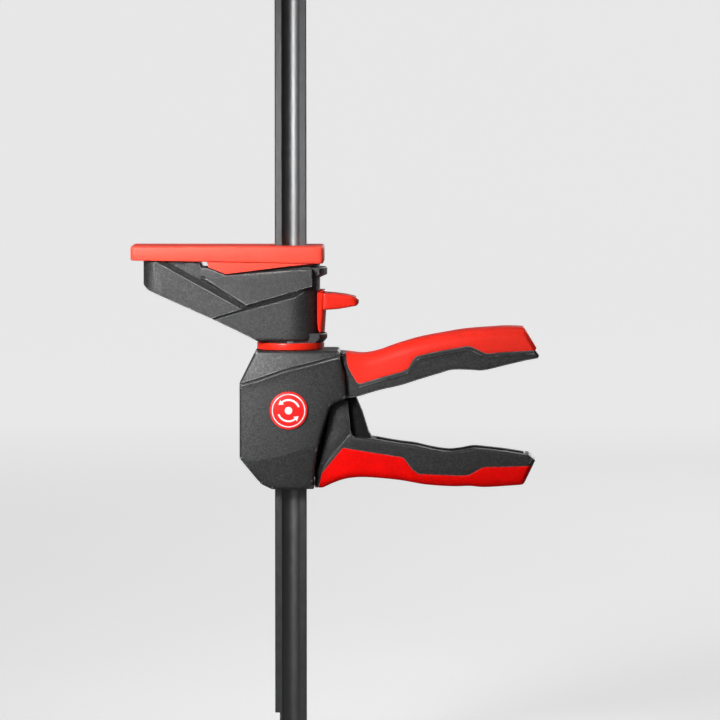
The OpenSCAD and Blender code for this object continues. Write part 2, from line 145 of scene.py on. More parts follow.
def inside(p, loop):
    """Whether p lies inside a closed loop."""
    hit = False
    for a, b in edges_of(loop):
        if (a[1] > p[1]) != (b[1] > p[1]):
            if p[0] < (b[0] - a[0]) * (p[1] - a[1]) / (b[1] - a[1]) + a[0]:
                hit = not hit
    return hit


def signed(p, loop):
    """Distance to the loop, positive inside it."""
    distance = loop_distance(p, loop)
    return distance if inside(p, loop) else -distance


def area(loop):
    """A loop's signed area."""
    return sum(a[0] * b[1] - b[0] * a[1] for a, b in edges_of(loop)) / 2


def inset(loop, distance):
    """The loop moved inwards by distance, corner by corner (outwards where it is negative)."""
    turn = 1 if area(loop) > 0 else -1
    moved = []
    for before, here, after in corners_of(loop):
        first = Vector((here[0] - before[0], here[1] - before[1])).normalized()
        second = Vector((after[0] - here[0], after[1] - here[1])).normalized()
        normal_1 = Vector((-first.y, first.x)) * turn
        normal_2 = Vector((-second.y, second.x)) * turn
        middle = (normal_1 + normal_2).normalized()
        reach = distance / max(0.45, middle.dot(normal_1))
        moved.append((here[0] + middle.x * reach, here[1] + middle.y * reach))
    return moved


def rounded(loop, radius, steps=4):
    """The loop with each corner replaced by an arc of about that radius."""
    result = []
    for before, here, after in corners_of(loop):
        to_before = Vector((before[0] - here[0], before[1] - here[1]))
        to_after = Vector((after[0] - here[0], after[1] - here[1]))
        bend = to_before.angle(to_after)
        if bend > math.radians(168):
            result.append(tuple(here))
            continue
        reach = min(radius / math.tan(bend / 2), 0.45 * to_before.length, 0.45 * to_after.length)
        start = Vector(here) + to_before.normalized() * reach
        end = Vector(here) + to_after.normalized() * reach
        for i in range(steps + 1):
            t = i / steps
            point = start * (1 - t) ** 2 + Vector(here) * 2 * t * (1 - t) + end * t ** 2
            result.append((point.x, point.y))
    return result


SPLINE_STEP = 2.0


def spline(points):
    """A smooth open line through the points."""
    ends = [points[0]] + list(points) + [points[-1]]
    result = []
    for p0, p1, p2, p3 in zip(ends, ends[1:], ends[2:], ends[3:]):
        count = max(1, round(math.dist(p1, p2) / SPLINE_STEP))
        for i in range(count):
            t = i / count
            result.append(tuple(
                0.5 * (2 * b + (c - a) * t + (2 * a - 5 * b + 4 * c - d) * t * t
                       + (3 * b - a - 3 * c + d) * t ** 3)
                for a, b, c, d in zip(p0, p1, p2, p3)))
    result.append(tuple(points[-1]))
    return result


def split_line(line, step):
    """The line with points added so that no stretch is longer than step."""
    result = [line[0]]
    for a, b in zip(line, line[1:]):
        count = max(1, math.ceil(math.dist(a, b) / step))
        result += [(a[0] + (b[0] - a[0]) * i / count, a[1] + (b[1] - a[1]) * i / count)
                   for i in range(1, count + 1)]
    return result


def rectangle(u_low, u_high, v_low, v_high):
    """A rectangle's corners."""
    return [(u_low, v_low), (u_high, v_low), (u_high, v_high), (u_low, v_high)]


def smooth_step(t):
    """Rises smoothly from 0 to 1 as t does."""
    t = min(1, max(0, t))
    return t * t * (3 - 2 * t)


def edge_drop(distance, across, deep):
    """How far an edge rounded across x deep has fallen at a distance from the outline."""
    if distance >= across:
        return 0
    t = (across - max(0, distance)) / across
    return deep * (1 - math.sqrt(max(0, 1 - t * t)))


def open_rings(loop, across, count):
    """Closed lines inside a loop at which an edge rounding is sampled."""
    offsets = [across * (1 - math.cos(math.pi / 2 * i / count)) for i in range(1, count + 1)]
    return parallel_lines(loop, [-d for d in offsets])


def parallel_lines(loop, distances):
    """Closed copies of a loop at distances outside it."""
    moved = [inset(loop, -d) for d in distances]
    return [line + line[:1] for line in moved]


def beside(line, distances):
    """Copies of an open line moved to its left."""
    run = Vector(line[-1]) - Vector(line[0])
    out = Vector((-run.y, run.x)).normalized()
    return [[(x + out.x * d, h + out.y * d) for x, h in line] for d in distances]


def shifted(line, ups):
    """Copies of a line moved upwards."""
    return [[(x, h + up) for x, h in line] for up in ups]


def columns(places, low, high):
    """Upright lines at the places."""
    return [[(x, low), (x, high)] for x in places]


def height_on(line, x):
    """The line's height at x."""
    for (x0, h0), (x1, h1) in zip(line, line[1:]):
        if x <= x1:
            return h0 + (h1 - h0) * (x - x0) / (x1 - x0)
    return line[-1][1]


def thinned(loop, gap):
    """The closed loop without points closer together than gap."""
    kept = []
    for p in loop:
        if not kept or math.dist(p, kept[-1]) > gap:
            kept.append(p)
    if math.dist(kept[0], kept[-1]) <= gap:
        kept.pop()
    return kept


def clipped(line, loop, margin):
    """The stretches of a fine line that keep a margin inside the loop."""
    stretches = []
    run = []
    deep = [signed(p, loop) > margin for p in line]
    for i, p in enumerate(line):
        if i and deep[i] != deep[i - 1]:
            low, high = (line[i - 1], p) if deep[i] else (p, line[i - 1])
            for _ in range(12):
                middle = ((low[0] + high[0]) / 2, (low[1] + high[1]) / 2)
                if signed(middle, loop) > margin:
                    high = middle
                else:
                    low = middle
            run.append(high)
            if not deep[i]:
                stretches.append(run)
                run = []
        if deep[i]:
            run.append(p)
    return [r for r in stretches + [run] if len(r) > 1]


WEAR_HIGHLIGHT_WIDTH = 0.45 * MM
WEAR_HIGHLIGHT_BEND = math.radians(17)


def mark_wear_and_highlight(data):
    """Stores 1 in the narrow faces along a mesh's convex edges, where the plastic is lighter:
    partly worn by rubbing, partly a painted highlight.
    """
    bm = bmesh.new()
    bm.from_mesh(data)
    marks = []
    for face in bm.faces:
        # Twice a triangle's area, or once a quad's, over its longest edge is its width
        parts = 2 - len(face.verts) // 4
        width = parts * face.calc_area() / max(e.calc_length() for e in face.edges)
        bend = max(e.calc_face_angle_signed(0) for e in face.edges)
        marks.append(float(width < WEAR_HIGHLIGHT_WIDTH and bend > WEAR_HIGHLIGHT_BEND))
    bm.free()
    data.attributes.new("wear_and_highlight", "FLOAT", "FACE").data.foreach_set("value", marks)


LINE_MARGIN = 0.08
GRID_GAP = 0.45
WELD = 1e-4


def relief(name, outline, top, bottom, place, lines=(), edge=0, step=1.3, grid=2.4,
           round_bottom=True):
    """A closed piece over a side or plan outline.

    top and bottom give its two surfaces over each point, place turns (u, v, w) into (x, y, z),
    lines are creases that the mesh follows, and edge is the rounding of its rim. Points lie no
    further apart than step along the lines and about grid between them.
    """
    loop = thinned(split_line(list(outline) + [outline[0]], step)[:-1], 0.05)
    points = list(loop)
    edges = [(i, (i + 1) % len(loop)) for i in range(len(loop))]
    rims = open_rings(loop, edge, 3) if edge else []
    for line in list(lines) + rims:
        for fine in clipped(split_line(line, step), loop, LINE_MARGIN):
            edges += [(len(points) + i, len(points) + i + 1) for i in range(len(fine) - 1)]
            points += fine
    taken = np.array(points)
    u_low, v_low = np.array(loop).min(axis=0).tolist()
    u_high, v_high = np.array(loop).max(axis=0).tolist()
    for i in range(int((u_high - u_low) / grid)):
        for j in range(int((v_high - v_low) / grid)):
            shift = grid / 2 if j % 2 else 0
            p = (u_low + (i + 0.5) * grid + shift, v_low + (j + 0.5) * grid)
            gap = np.min(np.hypot(taken[:, 0] - p[0], taken[:, 1] - p[1]))
            if gap > grid * GRID_GAP and inside(p, loop):
                points.append(p)
    flat, _, faces, *_ = delaunay_2d_cdt([Vector(p) for p in points], edges, [], 0, WELD)
    kept = [face for face in faces
            if inside(sum((flat[i] for i in face), Vector((0, 0))) / len(face), loop)]
    count = {}
    for face in kept:
        for a, b in edges_of(face):
            key = (min(a, b), max(a, b))
            count[key] = count.get(key, 0) + 1
    rim = [key for key, times in count.items() if times == 1]
    bm = bmesh.new()
    upper = {}
    lower = {}
    for i in sorted({i for face in kept for i in face}):
        p = (flat[i].x, flat[i].y)
        high = top(*p)
        low = bottom(*p)
        drop = edge_drop(loop_distance(p, loop), edge, edge) if edge else 0
        drop = min(drop, 0.49 * (high - low))
        upper[i] = bm.verts.new(place(*p, high - drop))
        lower[i] = bm.verts.new(place(*p, low + (drop if round_bottom else 0)))
    for face in kept:
        bm.faces.new([upper[i] for i in face])
        bm.faces.new([lower[i] for i in reversed(face)])
    for a, b in rim:
        bm.faces.new([upper[a], upper[b], lower[b], lower[a]])
    bmesh.ops.remove_doubles(bm, verts=bm.verts, dist=WELD)
    piece = finish_mesh(name, bm)
    mark_wear_and_highlight(piece.data)
    return piece


def side(place):
    """Turns a side outline's (x, h) and its distance to the front into a point."""
    return lambda u, v, w: place(u, -w, v)


def flanks(name, outline, half, lines=(), place=in_head, **settings):
    """A relief over a side outline whose two sides are alike; half is a number or a function."""
    top = half if callable(half) else lambda u, v: half
    return relief(name, outline, top, lambda u, v: -top(u, v), side(place), lines, **settings)


def prism(name, outline, low, high, place, edge=0, step=30, grid=60):
    """A flat-faced piece over an outline."""
    return relief(name, outline, lambda u, v: high, lambda u, v: low, place, (), edge, step, grid)


def block(name, outline, half):
    """A plain block across the moving head."""
    return prism(name, outline, -half, half, side(in_head))


LATHE_STEPS = 96


def lathe(name, profile, place, keep=None):
    """A piece turned round the rail's axis from an (r, h) profile; keep cuts it to a box."""
    bm = bmesh.new()
    rings = []
    for i in range(LATHE_STEPS):
        turn = 2 * math.pi * i / LATHE_STEPS
        rings.append([
            bm.verts.new((r * math.cos(turn), r * math.sin(turn), h)) for r, h in profile])
    for first, second in edges_of(rings):
        for i in range(len(profile)):
            j = (i + 1) % len(profile)
            bm.faces.new([first[i], second[i], second[j], first[j]])
    if keep:
        for axis, corner, sign in ((0, 0, -1), (0, 1, 1), (1, 0, -1), (1, 1, 1)):
            point = Vector((0, 0, 0))
            normal = Vector((0, 0, 0))
            point[axis] = keep[corner][axis]
            normal[axis] = sign
            cut = bmesh.ops.bisect_plane(bm, geom=bm.verts[:] + bm.edges[:] + bm.faces[:],
                                         plane_co=point, plane_no=normal, clear_outer=True)
            rim = [e for e in cut["geom_cut"] if isinstance(e, bmesh.types.BMEdge)]
            if rim:
                bmesh.ops.edgeloop_fill(bm, edges=rim)
    for vert in bm.verts:
        vert.co = place(*vert.co)
    return finish_mesh(name, bm)


def box_mesh(name, low, high, place=in_head):
    """A box from corner to corner."""
    bm = bmesh.new()
    bmesh.ops.create_cube(bm, size=1)
    for vert in bm.verts:
        vert.co = place(*(low[i] + (vert.co[i] + 0.5) * (high[i] - low[i]) for i in range(3)))
    return finish_mesh(name, bm)


def bar_mesh(name, x, h, radius, y_low, y_high, place=in_head, steps=40, bevel=0):
    """A round bar along Y, its ends bevelled."""
    bm = bmesh.new()
    bmesh.ops.create_cone(bm, cap_ends=True, segments=steps, radius1=radius, radius2=radius,
                          depth=1)
    if bevel:
        rims = [e for e in bm.edges if abs(e.verts[0].co.z - e.verts[1].co.z) < 1e-6]
        for vert in bm.verts:
            vert.co.z *= y_high - y_low
        bmesh.ops.bevel(bm, geom=rims, offset=bevel, segments=3, profile=0.5, affect="EDGES")
        for vert in bm.verts:
            vert.co.z /= y_high - y_low
    for vert in bm.verts:
        y = y_low + (vert.co.z + 0.5) * (y_high - y_low)
        vert.co = place(x + vert.co.x, y, h + vert.co.y)
    return finish_mesh(name, bm)


def combine(piece, others, operation):
    """piece with the others cut out of it or joined to it; the others are used up."""
    for other in others:
        modifier = piece.modifiers.new(operation, "BOOLEAN")
        modifier.operation = operation
        modifier.solver = "MANIFOLD"
        modifier.object = other
    graph = bpy.context.evaluated_depsgraph_get()
    data = bpy.data.meshes.new_from_object(piece.evaluated_get(graph))
    piece.modifiers.clear()
    piece.data = data
    for other in others:
        bpy.data.objects.remove(other)
    return shade(piece)


def add_parts(piece, others):
    """Joins the others' closed shells to piece as they are."""
    bm = bmesh.new()
    bm.from_mesh(piece.data)
    for other in others:
        bm.from_mesh(other.data)
        bpy.data.objects.remove(other)
    bm.to_mesh(piece.data)
    bm.free()
    return shade(piece)


# --- Materials ---

class Nodes:
    """A short way to build a node material."""

    def __init__(self, name):
        self.material = bpy.data.materials.new(name)
        self.material.use_nodes = True
        self.tree = self.material.node_tree
        self.tree.nodes.clear()
        self.output = self.add("ShaderNodeOutputMaterial")
        self.shader = self.add("ShaderNodeBsdfPrincipled")
        self.join(self.shader, "BSDF", self.output, "Surface")
        self.place = self.add("ShaderNodeTexCoord")

    def add(self, kind, **settings):
        node = self.tree.nodes.new(kind)
        for key, value in settings.items():
            if key in node.inputs:
                node.inputs[key].default_value = value
            else:
                setattr(node, key, value)
        return node

    def join(self, source, out, target, into):
        self.tree.links.new(source.outputs[out], target.inputs[into])

    def noise(self, scale, detail=3, roughness=0.55, stretch=None):
        """Noise over the object's own coordinates; stretch squeezes it along the axes."""
        texture = self.add("ShaderNodeTexNoise", Scale=scale, Detail=detail, Roughness=roughness)
        if stretch:
            mapping = self.add("ShaderNodeMapping", Scale=stretch)
            self.join(self.place, "Object", mapping, "Vector")
            self.join(mapping, "Vector", texture, "Vector")
        else:
            self.join(self.place, "Object", texture, "Vector")
        return texture

    def ramp(self, source, out, stops):
        """A colour ramp over a value; stops are (position, colour or grey)."""
        ramp = self.add("ShaderNodeValToRGB")
        elements = ramp.color_ramp.elements
        for i, (position, colour) in enumerate(stops):
            element = elements[i] if i < 2 else elements.new(position)
            element.position = position
            grey = isinstance(colour, (int, float))
            element.color = (colour, colour, colour, 1) if grey else (*colour, 1)
        self.join(source, out, ramp, "Fac")
        return ramp

    def mix(self, factor, a, b, blend="MIX"):
        """Mixes two colours; factor, a and b are numbers, colours or (node, output)."""
        node = self.add("ShaderNodeMix", data_type="RGBA", blend_type=blend)
        for key, value in ((0, factor), (6, a), (7, b)):
            self.feed(value, node.inputs[key])
        return node, 2

    def calculate(self, operation, a, b):
        """Arithmetic on two values, each a number or (node, output)."""
        node = self.add("ShaderNodeMath", operation=operation)
        for socket, value in zip(node.inputs, (a, b)):
            self.feed(value, socket)
        return node, "Value"

    def feed(self, value, socket):
        """Sets a socket to a number or colour, or links it to a (node, output)."""
        if isinstance(value, tuple) and isinstance(value[0], bpy.types.Node):
            self.tree.links.new(value[0].outputs[value[1]], socket)
        elif isinstance(value, (int, float)):
            socket.default_value = value
        else:
            socket.default_value = (*value, 1)

    def bump(self, layers):
        """A chain of bumps; layers are (texture, output, strength, distance in metres)."""
        last = None
        for texture, out, strength, distance in layers:
            bump = self.add("ShaderNodeBump", Strength=strength, Distance=distance)
            self.join(texture, out, bump, "Height")
            if last:
                self.join(last, "Normal", bump, "Normal")
            last = bump
        self.join(last, "Normal", self.shader, "Normal")

    def wear_and_highlight(self):
        """1 on the narrow faces along convex edges that were marked when the mesh was built, 0
        elsewhere: where edges are lighter, partly worn by rubbing and partly as a painted
        highlight.
        """
        marked = self.add("ShaderNodeAttribute", attribute_name="wear_and_highlight")
        patchy = self.ramp(self.noise(240, 3), "Fac", [(0.35, 0.5), (0.6, 1.0)])
        return self.mix(1.0, (marked, "Color"), (patchy, "Color"), "MULTIPLY")


def plastic(name, colour, roughness, grain, speck, wear_highlight_colour, wear_highlight_amount, coat=0.0,
            specular=0.5):
    """Moulded plastic: fine grain, faint mottling, and lighter edges that are partly worn by
    rubbing and partly a painted highlight.
    """
    n = Nodes(name)
    shader = n.shader
    shader.inputs["Specular IOR Level"].default_value = specular
    shader.inputs["Coat Weight"].default_value = coat
    shader.inputs["Coat Roughness"].default_value = 0.25
    fine = n.noise(950, 4, 0.75)
    mottle = n.noise(90, 3, 0.6)
    specks = n.ramp(fine, "Fac", [(0.36, tuple(c * (1 - speck) for c in colour)),
                                  (0.56, tuple(min(1, c * (1 + speck * 0.4)) for c in colour)),
                                  (0.66, tuple(min(1, c * (1 + speck * 2.2)) for c in colour))])
    patches = n.ramp(mottle, "Fac", [(0.3, 0.88), (0.7, 1.0)])
    body = n.mix(1.0, (specks, "Color"), (patches, "Color"), "MULTIPLY")
    # Lighter edges on the marked faces: partly worn by rubbing, partly a painted highlight.
    wear_highlight_mix = n.mix(wear_highlight_amount, (0, 0, 0), n.wear_and_highlight())
    final = n.mix(wear_highlight_mix, body, wear_highlight_colour)
    n.feed(final, shader.inputs["Base Color"])
    swing = speck * 0.16
    shine = n.ramp(fine, "Fac", [(0.36, roughness + swing), (0.64, roughness - swing)])
    n.join(shine, "Color", shader, "Roughness")
    n.bump([(fine, "Fac", grain, 0.0003), (mottle, "Fac", 0.08, 0.0003)])
    return n.material


def steel(name, colour, roughness, stretch, scratch, mottle_amount):
    """Worked steel: fine lines along the part, mottled oxide, brighter rubbed edges."""
    n = Nodes(name)
    n.shader.inputs["Metallic"].default_value = 1.0
    lines = n.noise(900, 5, 0.65, stretch)
    mottle = n.noise(260, 2, 0.5)
    dark = tuple(c * (1 - mottle_amount) for c in colour)
    light = tuple(min(1, c * (1 + mottle_amount)) for c in colour)
    body = n.ramp(mottle, "Fac", [(0.32, dark), (0.68, light)])
    streak = n.ramp(lines, "Fac", [(0.3, 0.82), (0.7, 1.0)])
    base = n.mix(1.0, (body, "Color"), (streak, "Color"), "MULTIPLY")
    geometry = n.add("ShaderNodeNewGeometry")
    edges = n.ramp(geometry, "Pointiness", [(0.51, 0.0), (0.58, 0.5)])
    bright = tuple(min(1, c * 2.2) for c in colour)
    final = n.mix((edges, "Color"), base, bright)
    n.feed(final, n.shader.inputs["Base Color"])
    shine = n.ramp(mottle, "Fac", [(0.3, roughness - 0.03), (0.7, roughness + 0.04)])
    n.join(shine, "Color", n.shader, "Roughness")
    n.bump([(lines, "Fac", scratch, 0.00008), (mottle, "Fac", 0.05, 0.0001)])
    return n.material


# The last colour and amount of each plastic lighten its marked edges: partly worn by rubbing,
# partly a painted highlight.
BLACK = plastic("black_plastic", (0.019, 0.019, 0.0195), 0.46, 0.8, 0.75, (0.28, 0.28, 0.285), 0.9)
# A darker copy of the black plastic: painted shade for recessed faces deep inside the trigger.
PAINTED_SHADE_BLACK = plastic("black_plastic_painted_shade", (0.004, 0.004, 0.004), 0.55, 0.5, 0.5,
                     (0.03, 0.03, 0.03), 0.5, specular=0.2)
GUIDE = plastic("guide_plastic", (0.2, 0.2, 0.2), 0.4, 0.1, 0.05, (0.3, 0.3, 0.3), 0.3)
PAD_RED = plastic("pad_red", (0.90, 0.066, 0.038), 0.45, 0.2, 0.07, (0.95, 0.16, 0.11), 0.6,
                  specular=0.22)
GRIP_RED = plastic("grip_red", (0.98, 0.026, 0.012), 0.45, 0.16, 0.08, (0.90, 0.08, 0.05), 0.5,
                   specular=0.2)
# A darker, less shiny copy of the grip's red plastic: painted shade for the trigger's grip.
GRIP_RED_PAINTED_SHADE = plastic("trigger_red_painted_shade", (0.86, 0.003, 0.002), 0.5, 0.16, 0.08, (0.85, 0.04, 0.03), 0.5,
                      specular=0.05)
GLOSS_RED = plastic("gloss_red", (0.72, 0.018, 0.006), 0.28, 0.05, 0.03, (0.9, 0.06, 0.04), 0.35,
                    coat=0.1, specular=0.35)
BADGE_RED = plastic("badge_red", (0.80, 0.012, 0.010), 0.3, 0.04, 0.02, (0.85, 0.04, 0.03), 0.3)
BADGE_WHITE = plastic("badge_white", (0.80, 0.80, 0.79), 0.35, 0.04, 0.02, (0.8, 0.8, 0.8), 0.2)
RAIL = steel("rail_steel", (0.083, 0.0835, 0.085), 0.37, (1, 1, 0.02), 0.03, 0.08)
PIN = steel("pin_steel", (0.55, 0.55, 0.57), 0.3, (1, 1, 1), 0.1, 0.12)
SPRING = steel("spring_steel", (0.42, 0.42, 0.44), 0.28, (1, 1, 1), 0.05, 0.1)
PLATE = steel("hard_plate", (0.34, 0.345, 0.36), 0.35, (0.1, 1, 1), 0.2, 0.2)
CASTING = steel("zinc_casting", (0.36, 0.36, 0.37), 0.5, (1, 1, 1), 0.4, 0.2)

SLOT_MATERIALS = {
    "black_plastic": BLACK, "guide_plastic": GUIDE, "pad_red": PAD_RED, "red_plastic": GLOSS_RED,
    "grip_red": GRIP_RED, "badge_red": BADGE_RED, "rail_steel": RAIL, "pin_steel": PIN,
    "spring_steel": SPRING, "hard_plate": PLATE, "zinc_casting": CASTING,
}


def paint_shade_inside(piece, half):
    """Gives the faces nearer to the middle plane than half a darker material: painted shade for the
    faces deep inside the channel and the web.
    """
    piece.data.materials.append(PAINTED_SHADE_BLACK)
    for face in piece.data.polygons:
        if all(abs(piece.data.vertices[i].co.y) <= half * MM for i in face.vertices):
            face.material_index = 1


def dress(piece, slot, body, *nodes, material=None):
    """Gives a piece its material and the frame's bookkeeping."""
    piece.data.materials.clear()
    piece.data.materials.append(material or SLOT_MATERIALS[slot])
    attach(piece, body)
    if nodes:
        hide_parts(*nodes)


for part in frame["record"]["subparts"]:
    for place_of in frame["nodes"][part["node"]].material_slots:
        place_of.material = SLOT_MATERIALS[part["material_slot"]]


# --- Jaws ---

JAW_HALF = 16.3
JAW_SIDE = [
    (-81.4, 126.2), (-50.5, 126), (-48.9, 122.4), (-45.5, 122.3), (-35.6, 118.4), (0, 121.2),
    (16.3, 122.2), (16.3, JAW_BASE + 1), (-17.9, JAW_BASE + 1), (-22.5, 84.3), (-44.6, 94.9),
    (-69.3, 105.9), (-78.8, 110.3), (-81.4, 113.2)]
TIP_CREASE = [(-75.5, 126.6), (-73.8, 125.7), (-26.9, 99.75)]
TIP_FACET = [
    (-84, 128), (-75.5, 128), (-73.8, 125.7), (-26.9, 99.75), (-45.6, 94), (-52, 92), (-84, 100)]
ROOT_FACET = [
    (-46.5, 92.4), (-23.4, 99.2), (3.4, 106.2), (7.6, 108.6), (10.6, 110.8), (12, 113), (12, 126),
    (20, 126), (20, 78), (-30, 78)]
RAISED_FACET = [(-46.6, 116.4), (-35.3, 118.3), (0, 122), (12, 123), (12, 112.4), (-23.9, 102.2)]
RAISED_HALF = 17.6
RAISED_LEFT = [(-46.6, 116.4), (-23.9, 102.2)]
RAISED_WALL = 0.3
RAISED_LEFT_WALL = 1.4
# The groove's floor leans, deepest along the root facet
GROOVE_TOP = [(-45.6, 94), (-26.9, 99.75)]
GROOVE_HALF = 14.3
GROOVE_HALF_MAX = 15.6
GROOVE_LEAN = 0.55
GROOVE_RISE = 0.284
GROOVE_WALL = 0.36
RECESS_END = 14
RECESS_MAX = 1.9
RECESS_SLOPE = 0.64
RECESS_FOOT = RECESS_MAX / RECESS_SLOPE
FOOT_H = JAW_BASE + 1
FOOT_ACROSS = 1.9
FOOT_DEEP = 1.4
TIP_RADIUS = 9
RIDGE = [(-34.9, 112), (-34.9, 118.3), (0, 122.7), (16.25, 124.2), (16.25, 112)]
RIDGE_HALF = 12
FLANGE_HALF = 12.4
COLLAR = [
    (0.5, 80.8), (17.0, 80.8), (17.9, 81.4), (18.3, 82.4), (18.2, 83.2), (17.0, 83.9), (0.5, 83.9)]
FLANGE = [
    (0.5, 116), (15.9, 116.4), (17.2, 117.1), (19.9, 118.3), (20.3, 118.8), (20.3, 122.1),
    (19.9, 122.5), (0.5, 122.5)]
LEVER_FLANGE = [
    (0.5, 80.8), (18.0, 80.8), (18.7, 81.1), (20.1, 82.9), (20.3, 83.3), (20.3, 85.5), (19.9, 85.9),
    (0.5, 85.9)]
BEHIND_RAIL = ((0.6, -FLANGE_HALF), (30, FLANGE_HALF))
BACK_COLUMNS = [JAW_HALF * math.sin(math.radians(a)) for a in range(0, 90, 6)]
TIP_COLUMNS = [JAW_SIDE[0][0] + TIP_RADIUS * (1 - math.cos(math.radians(a)))
               for a in range(6, 90, 7)]
KEEL = [(-46.1, 127.5), (-45.2, 122.8), (-35.3, 119), (0, 123.4), (15.6, 124.9), (15.6, 127.5)]
KEEL_HALF = 17.2
PAD_TIP = -88.1
PAD_BACK = 18.5
PAD_HALF = 19
PAD_UNDERSIDE = 126.6
PAD_SLOPE = 0.01595


def jaw_plan_half(x):
    """The jaw's half depth in plan: round at the tip, a half round behind the rail."""
    tip_start = JAW_SIDE[0][0] + TIP_RADIUS
    if x < tip_start:
        return JAW_HALF - TIP_RADIUS + math.sqrt(max(0, TIP_RADIUS ** 2 - (tip_start - x) ** 2))
    if x > 0:
        return math.sqrt(max(0, JAW_HALF ** 2 - x * x))
    return JAW_HALF


def jaw_depth(x, h):
    """Half depth of the jaw's face with its facets and grooves."""
    p = (x, h)
    groove_side = h < RAISED_LEFT[1][1] + (x - RAISED_LEFT[1][0]) * GROOVE_RISE
    base = min(GROOVE_HALF_MAX, GROOVE_HALF + GROOVE_LEAN * max(0, -signed(p, ROOT_FACET)))
    if not inside(p, TIP_FACET) and not groove_side and x < RECESS_END:
        base = JAW_HALF - min(RECESS_MAX, RECESS_SLOPE * line_distance(p, TIP_CREASE))
    level = base
    for loop in (TIP_FACET, ROOT_FACET):
        rise = smooth_step(signed(p, loop) / GROOVE_WALL + 1)
        if rise == 1 or groove_side or loop is ROOT_FACET:
            level = max(level, base + (JAW_HALF - base) * rise)
    level = min(level, jaw_plan_half(x)) - edge_drop(h - FOOT_H, FOOT_ACROSS, FOOT_DEEP)
    gap = signed(p, RAISED_FACET)
    on_left = gap < 0 and line_distance(p, RAISED_LEFT) < 0.01 - gap
    wall = RAISED_LEFT_WALL if on_left else RAISED_WALL
    return level + (RAISED_HALF - level) * smooth_step(gap / wall + 1)


JAW_LINES = (
    parallel_lines(RAISED_FACET, (-0.4, 0, 0.1, 0.2, RAISED_WALL))
    + beside(RAISED_LEFT, (-0.5, -0.95, -RAISED_LEFT_WALL, -1.6))
    + beside(TIP_CREASE, (-0.46, 0, 0.5, RECESS_FOOT - 0.2, RECESS_FOOT, RECESS_FOOT + 0.2))
    + shifted([(-30, FOOT_H), (30, FOOT_H)], (0.15, 0.5, 1.1, FOOT_ACROSS))
    + parallel_lines(ROOT_FACET, (-0.4, 0, 0.12, 0.24, GROOVE_WALL))
    + beside(GROOVE_TOP, (0.4, 0, -0.12, -0.24, -GROOVE_WALL))
    + columns(BACK_COLUMNS, 80, 127) + columns(TIP_COLUMNS, 105, 128))


def jaw_body(name, place):
    """The jaw's main form, its base collar and the flange beside the pad."""
    body = flanks(name, rounded(JAW_SIDE, 0.8), jaw_depth, JAW_LINES, place, edge=0.7, step=1.4,
                  grid=2.2)
    ridge = flanks("ridge", RIDGE, lambda x, h: min(RIDGE_HALF, jaw_plan_half(x)),
                   columns(BACK_COLUMNS, 111, 126), place, edge=0.4, step=2, grid=4)
    collar = lathe("collar", COLLAR, place, keep=((-20, -FLANGE_HALF), (30, FLANGE_HALF)))
    flange = lathe("flange", FLANGE, place, keep=BEHIND_RAIL)
    return combine(body, [ridge, collar, flange], "UNION")


def rail_slot(x_half, y_half, low, high, place=in_head):
    """A block to cut the hole for the rail."""
    return box_mesh("slot", (-x_half, -y_half, low), (x_half, y_half, high), place)


def tongue_seat(place):
    """A block to cut the seat for the pad's tongue."""
    return box_mesh("tongue_seat", (-73.7, -6, 119.3), (-58.3, 6, 130), place)


def pad(name, place):
    """The soft pad: a rounded slab with its keel and the hole for the rail."""
    outline = rectangle(PAD_TIP, PAD_BACK, -PAD_HALF, PAD_HALF)
    slab = relief(name, rounded(outline, 3, 6), lambda x, y: PAD_FACE,
                  lambda x, y: PAD_UNDERSIDE - (x - PAD_TIP) * PAD_SLOPE, place,
                  edge=1.0, step=2, grid=5)
    keel = flanks("keel", rounded(KEEL, 0.5), KEEL_HALF, (), place, edge=0.5, step=2, grid=4)
    tongue = box_mesh("tongue", (-73.5, -5.8, 119.5), (-58.5, 5.8, 128), place)
    combine(slab, [keel, tongue], "UNION")
    return combine(slab, [rail_slot(*RAIL_ROOM, 110, 140, place)], "DIFFERENCE")


moving_body = jaw_body("moving_jaw_shell", in_head)
combine(moving_body, [lathe("lever_flange", LEVER_FLANGE, in_head, BEHIND_RAIL)], "UNION")
combine(moving_body, [
    lathe("pocket", rectangle(16.35, 19.3, 83.3, 90.6), in_head, keep=((2, -9.8), (30, 9.8))),
    rail_slot(*RAIL_ROOM, 70, 130),
    prism("chamber", rounded(rectangle(-16.5, 12, -12, 12), 4.2, 5), 88, 105, in_head),
    box_mesh("window", (10, -5.8, 90.8), (22, 5.8, 105)),
    tongue_seat(in_head),
    box_mesh("bush_seat", (-11.6, -7.3, 107.9), (11.6, 7.3, 130)),
], "DIFFERENCE")
dress(moving_body, "black_plastic", "moving_jaw", "moving_jaw_body")

fixed_body = jaw_body("fixed_jaw_shell", in_fixed_jaw)
combine(fixed_body, [
    rail_slot(*RAIL_FIT, 88, 130, in_fixed_jaw),
    box_mesh("channel", (-26, -8.2, 96.6), (22, 8.2, 104.4), in_fixed_jaw),
    tongue_seat(in_fixed_jaw),
], "DIFFERENCE")
dress(fixed_body, "black_plastic", "rail", "fixed_jaw_body")

dress(pad("moving_soft_pad", in_head), "pad_red", "moving_jaw", "moving_pad")
dress(pad("fixed_soft_pad", in_fixed_jaw), "pad_red", "rail", "fixed_pad")

# --- Swivel ring ---

ring = lathe("swivel_ring_turned", [(15.1, 77.0), (18.2, 77.0), (18.6, 77.3), (18.7, 77.8),
                                    (18.55, 78.9), (18.7, 80.0), (18.6, 80.5), (18.2, 80.8),
                                    (15.1, 80.8)], in_head)
dress(ring, "red_plastic", "moving_jaw", "swivel_ring")

# --- Housing ---

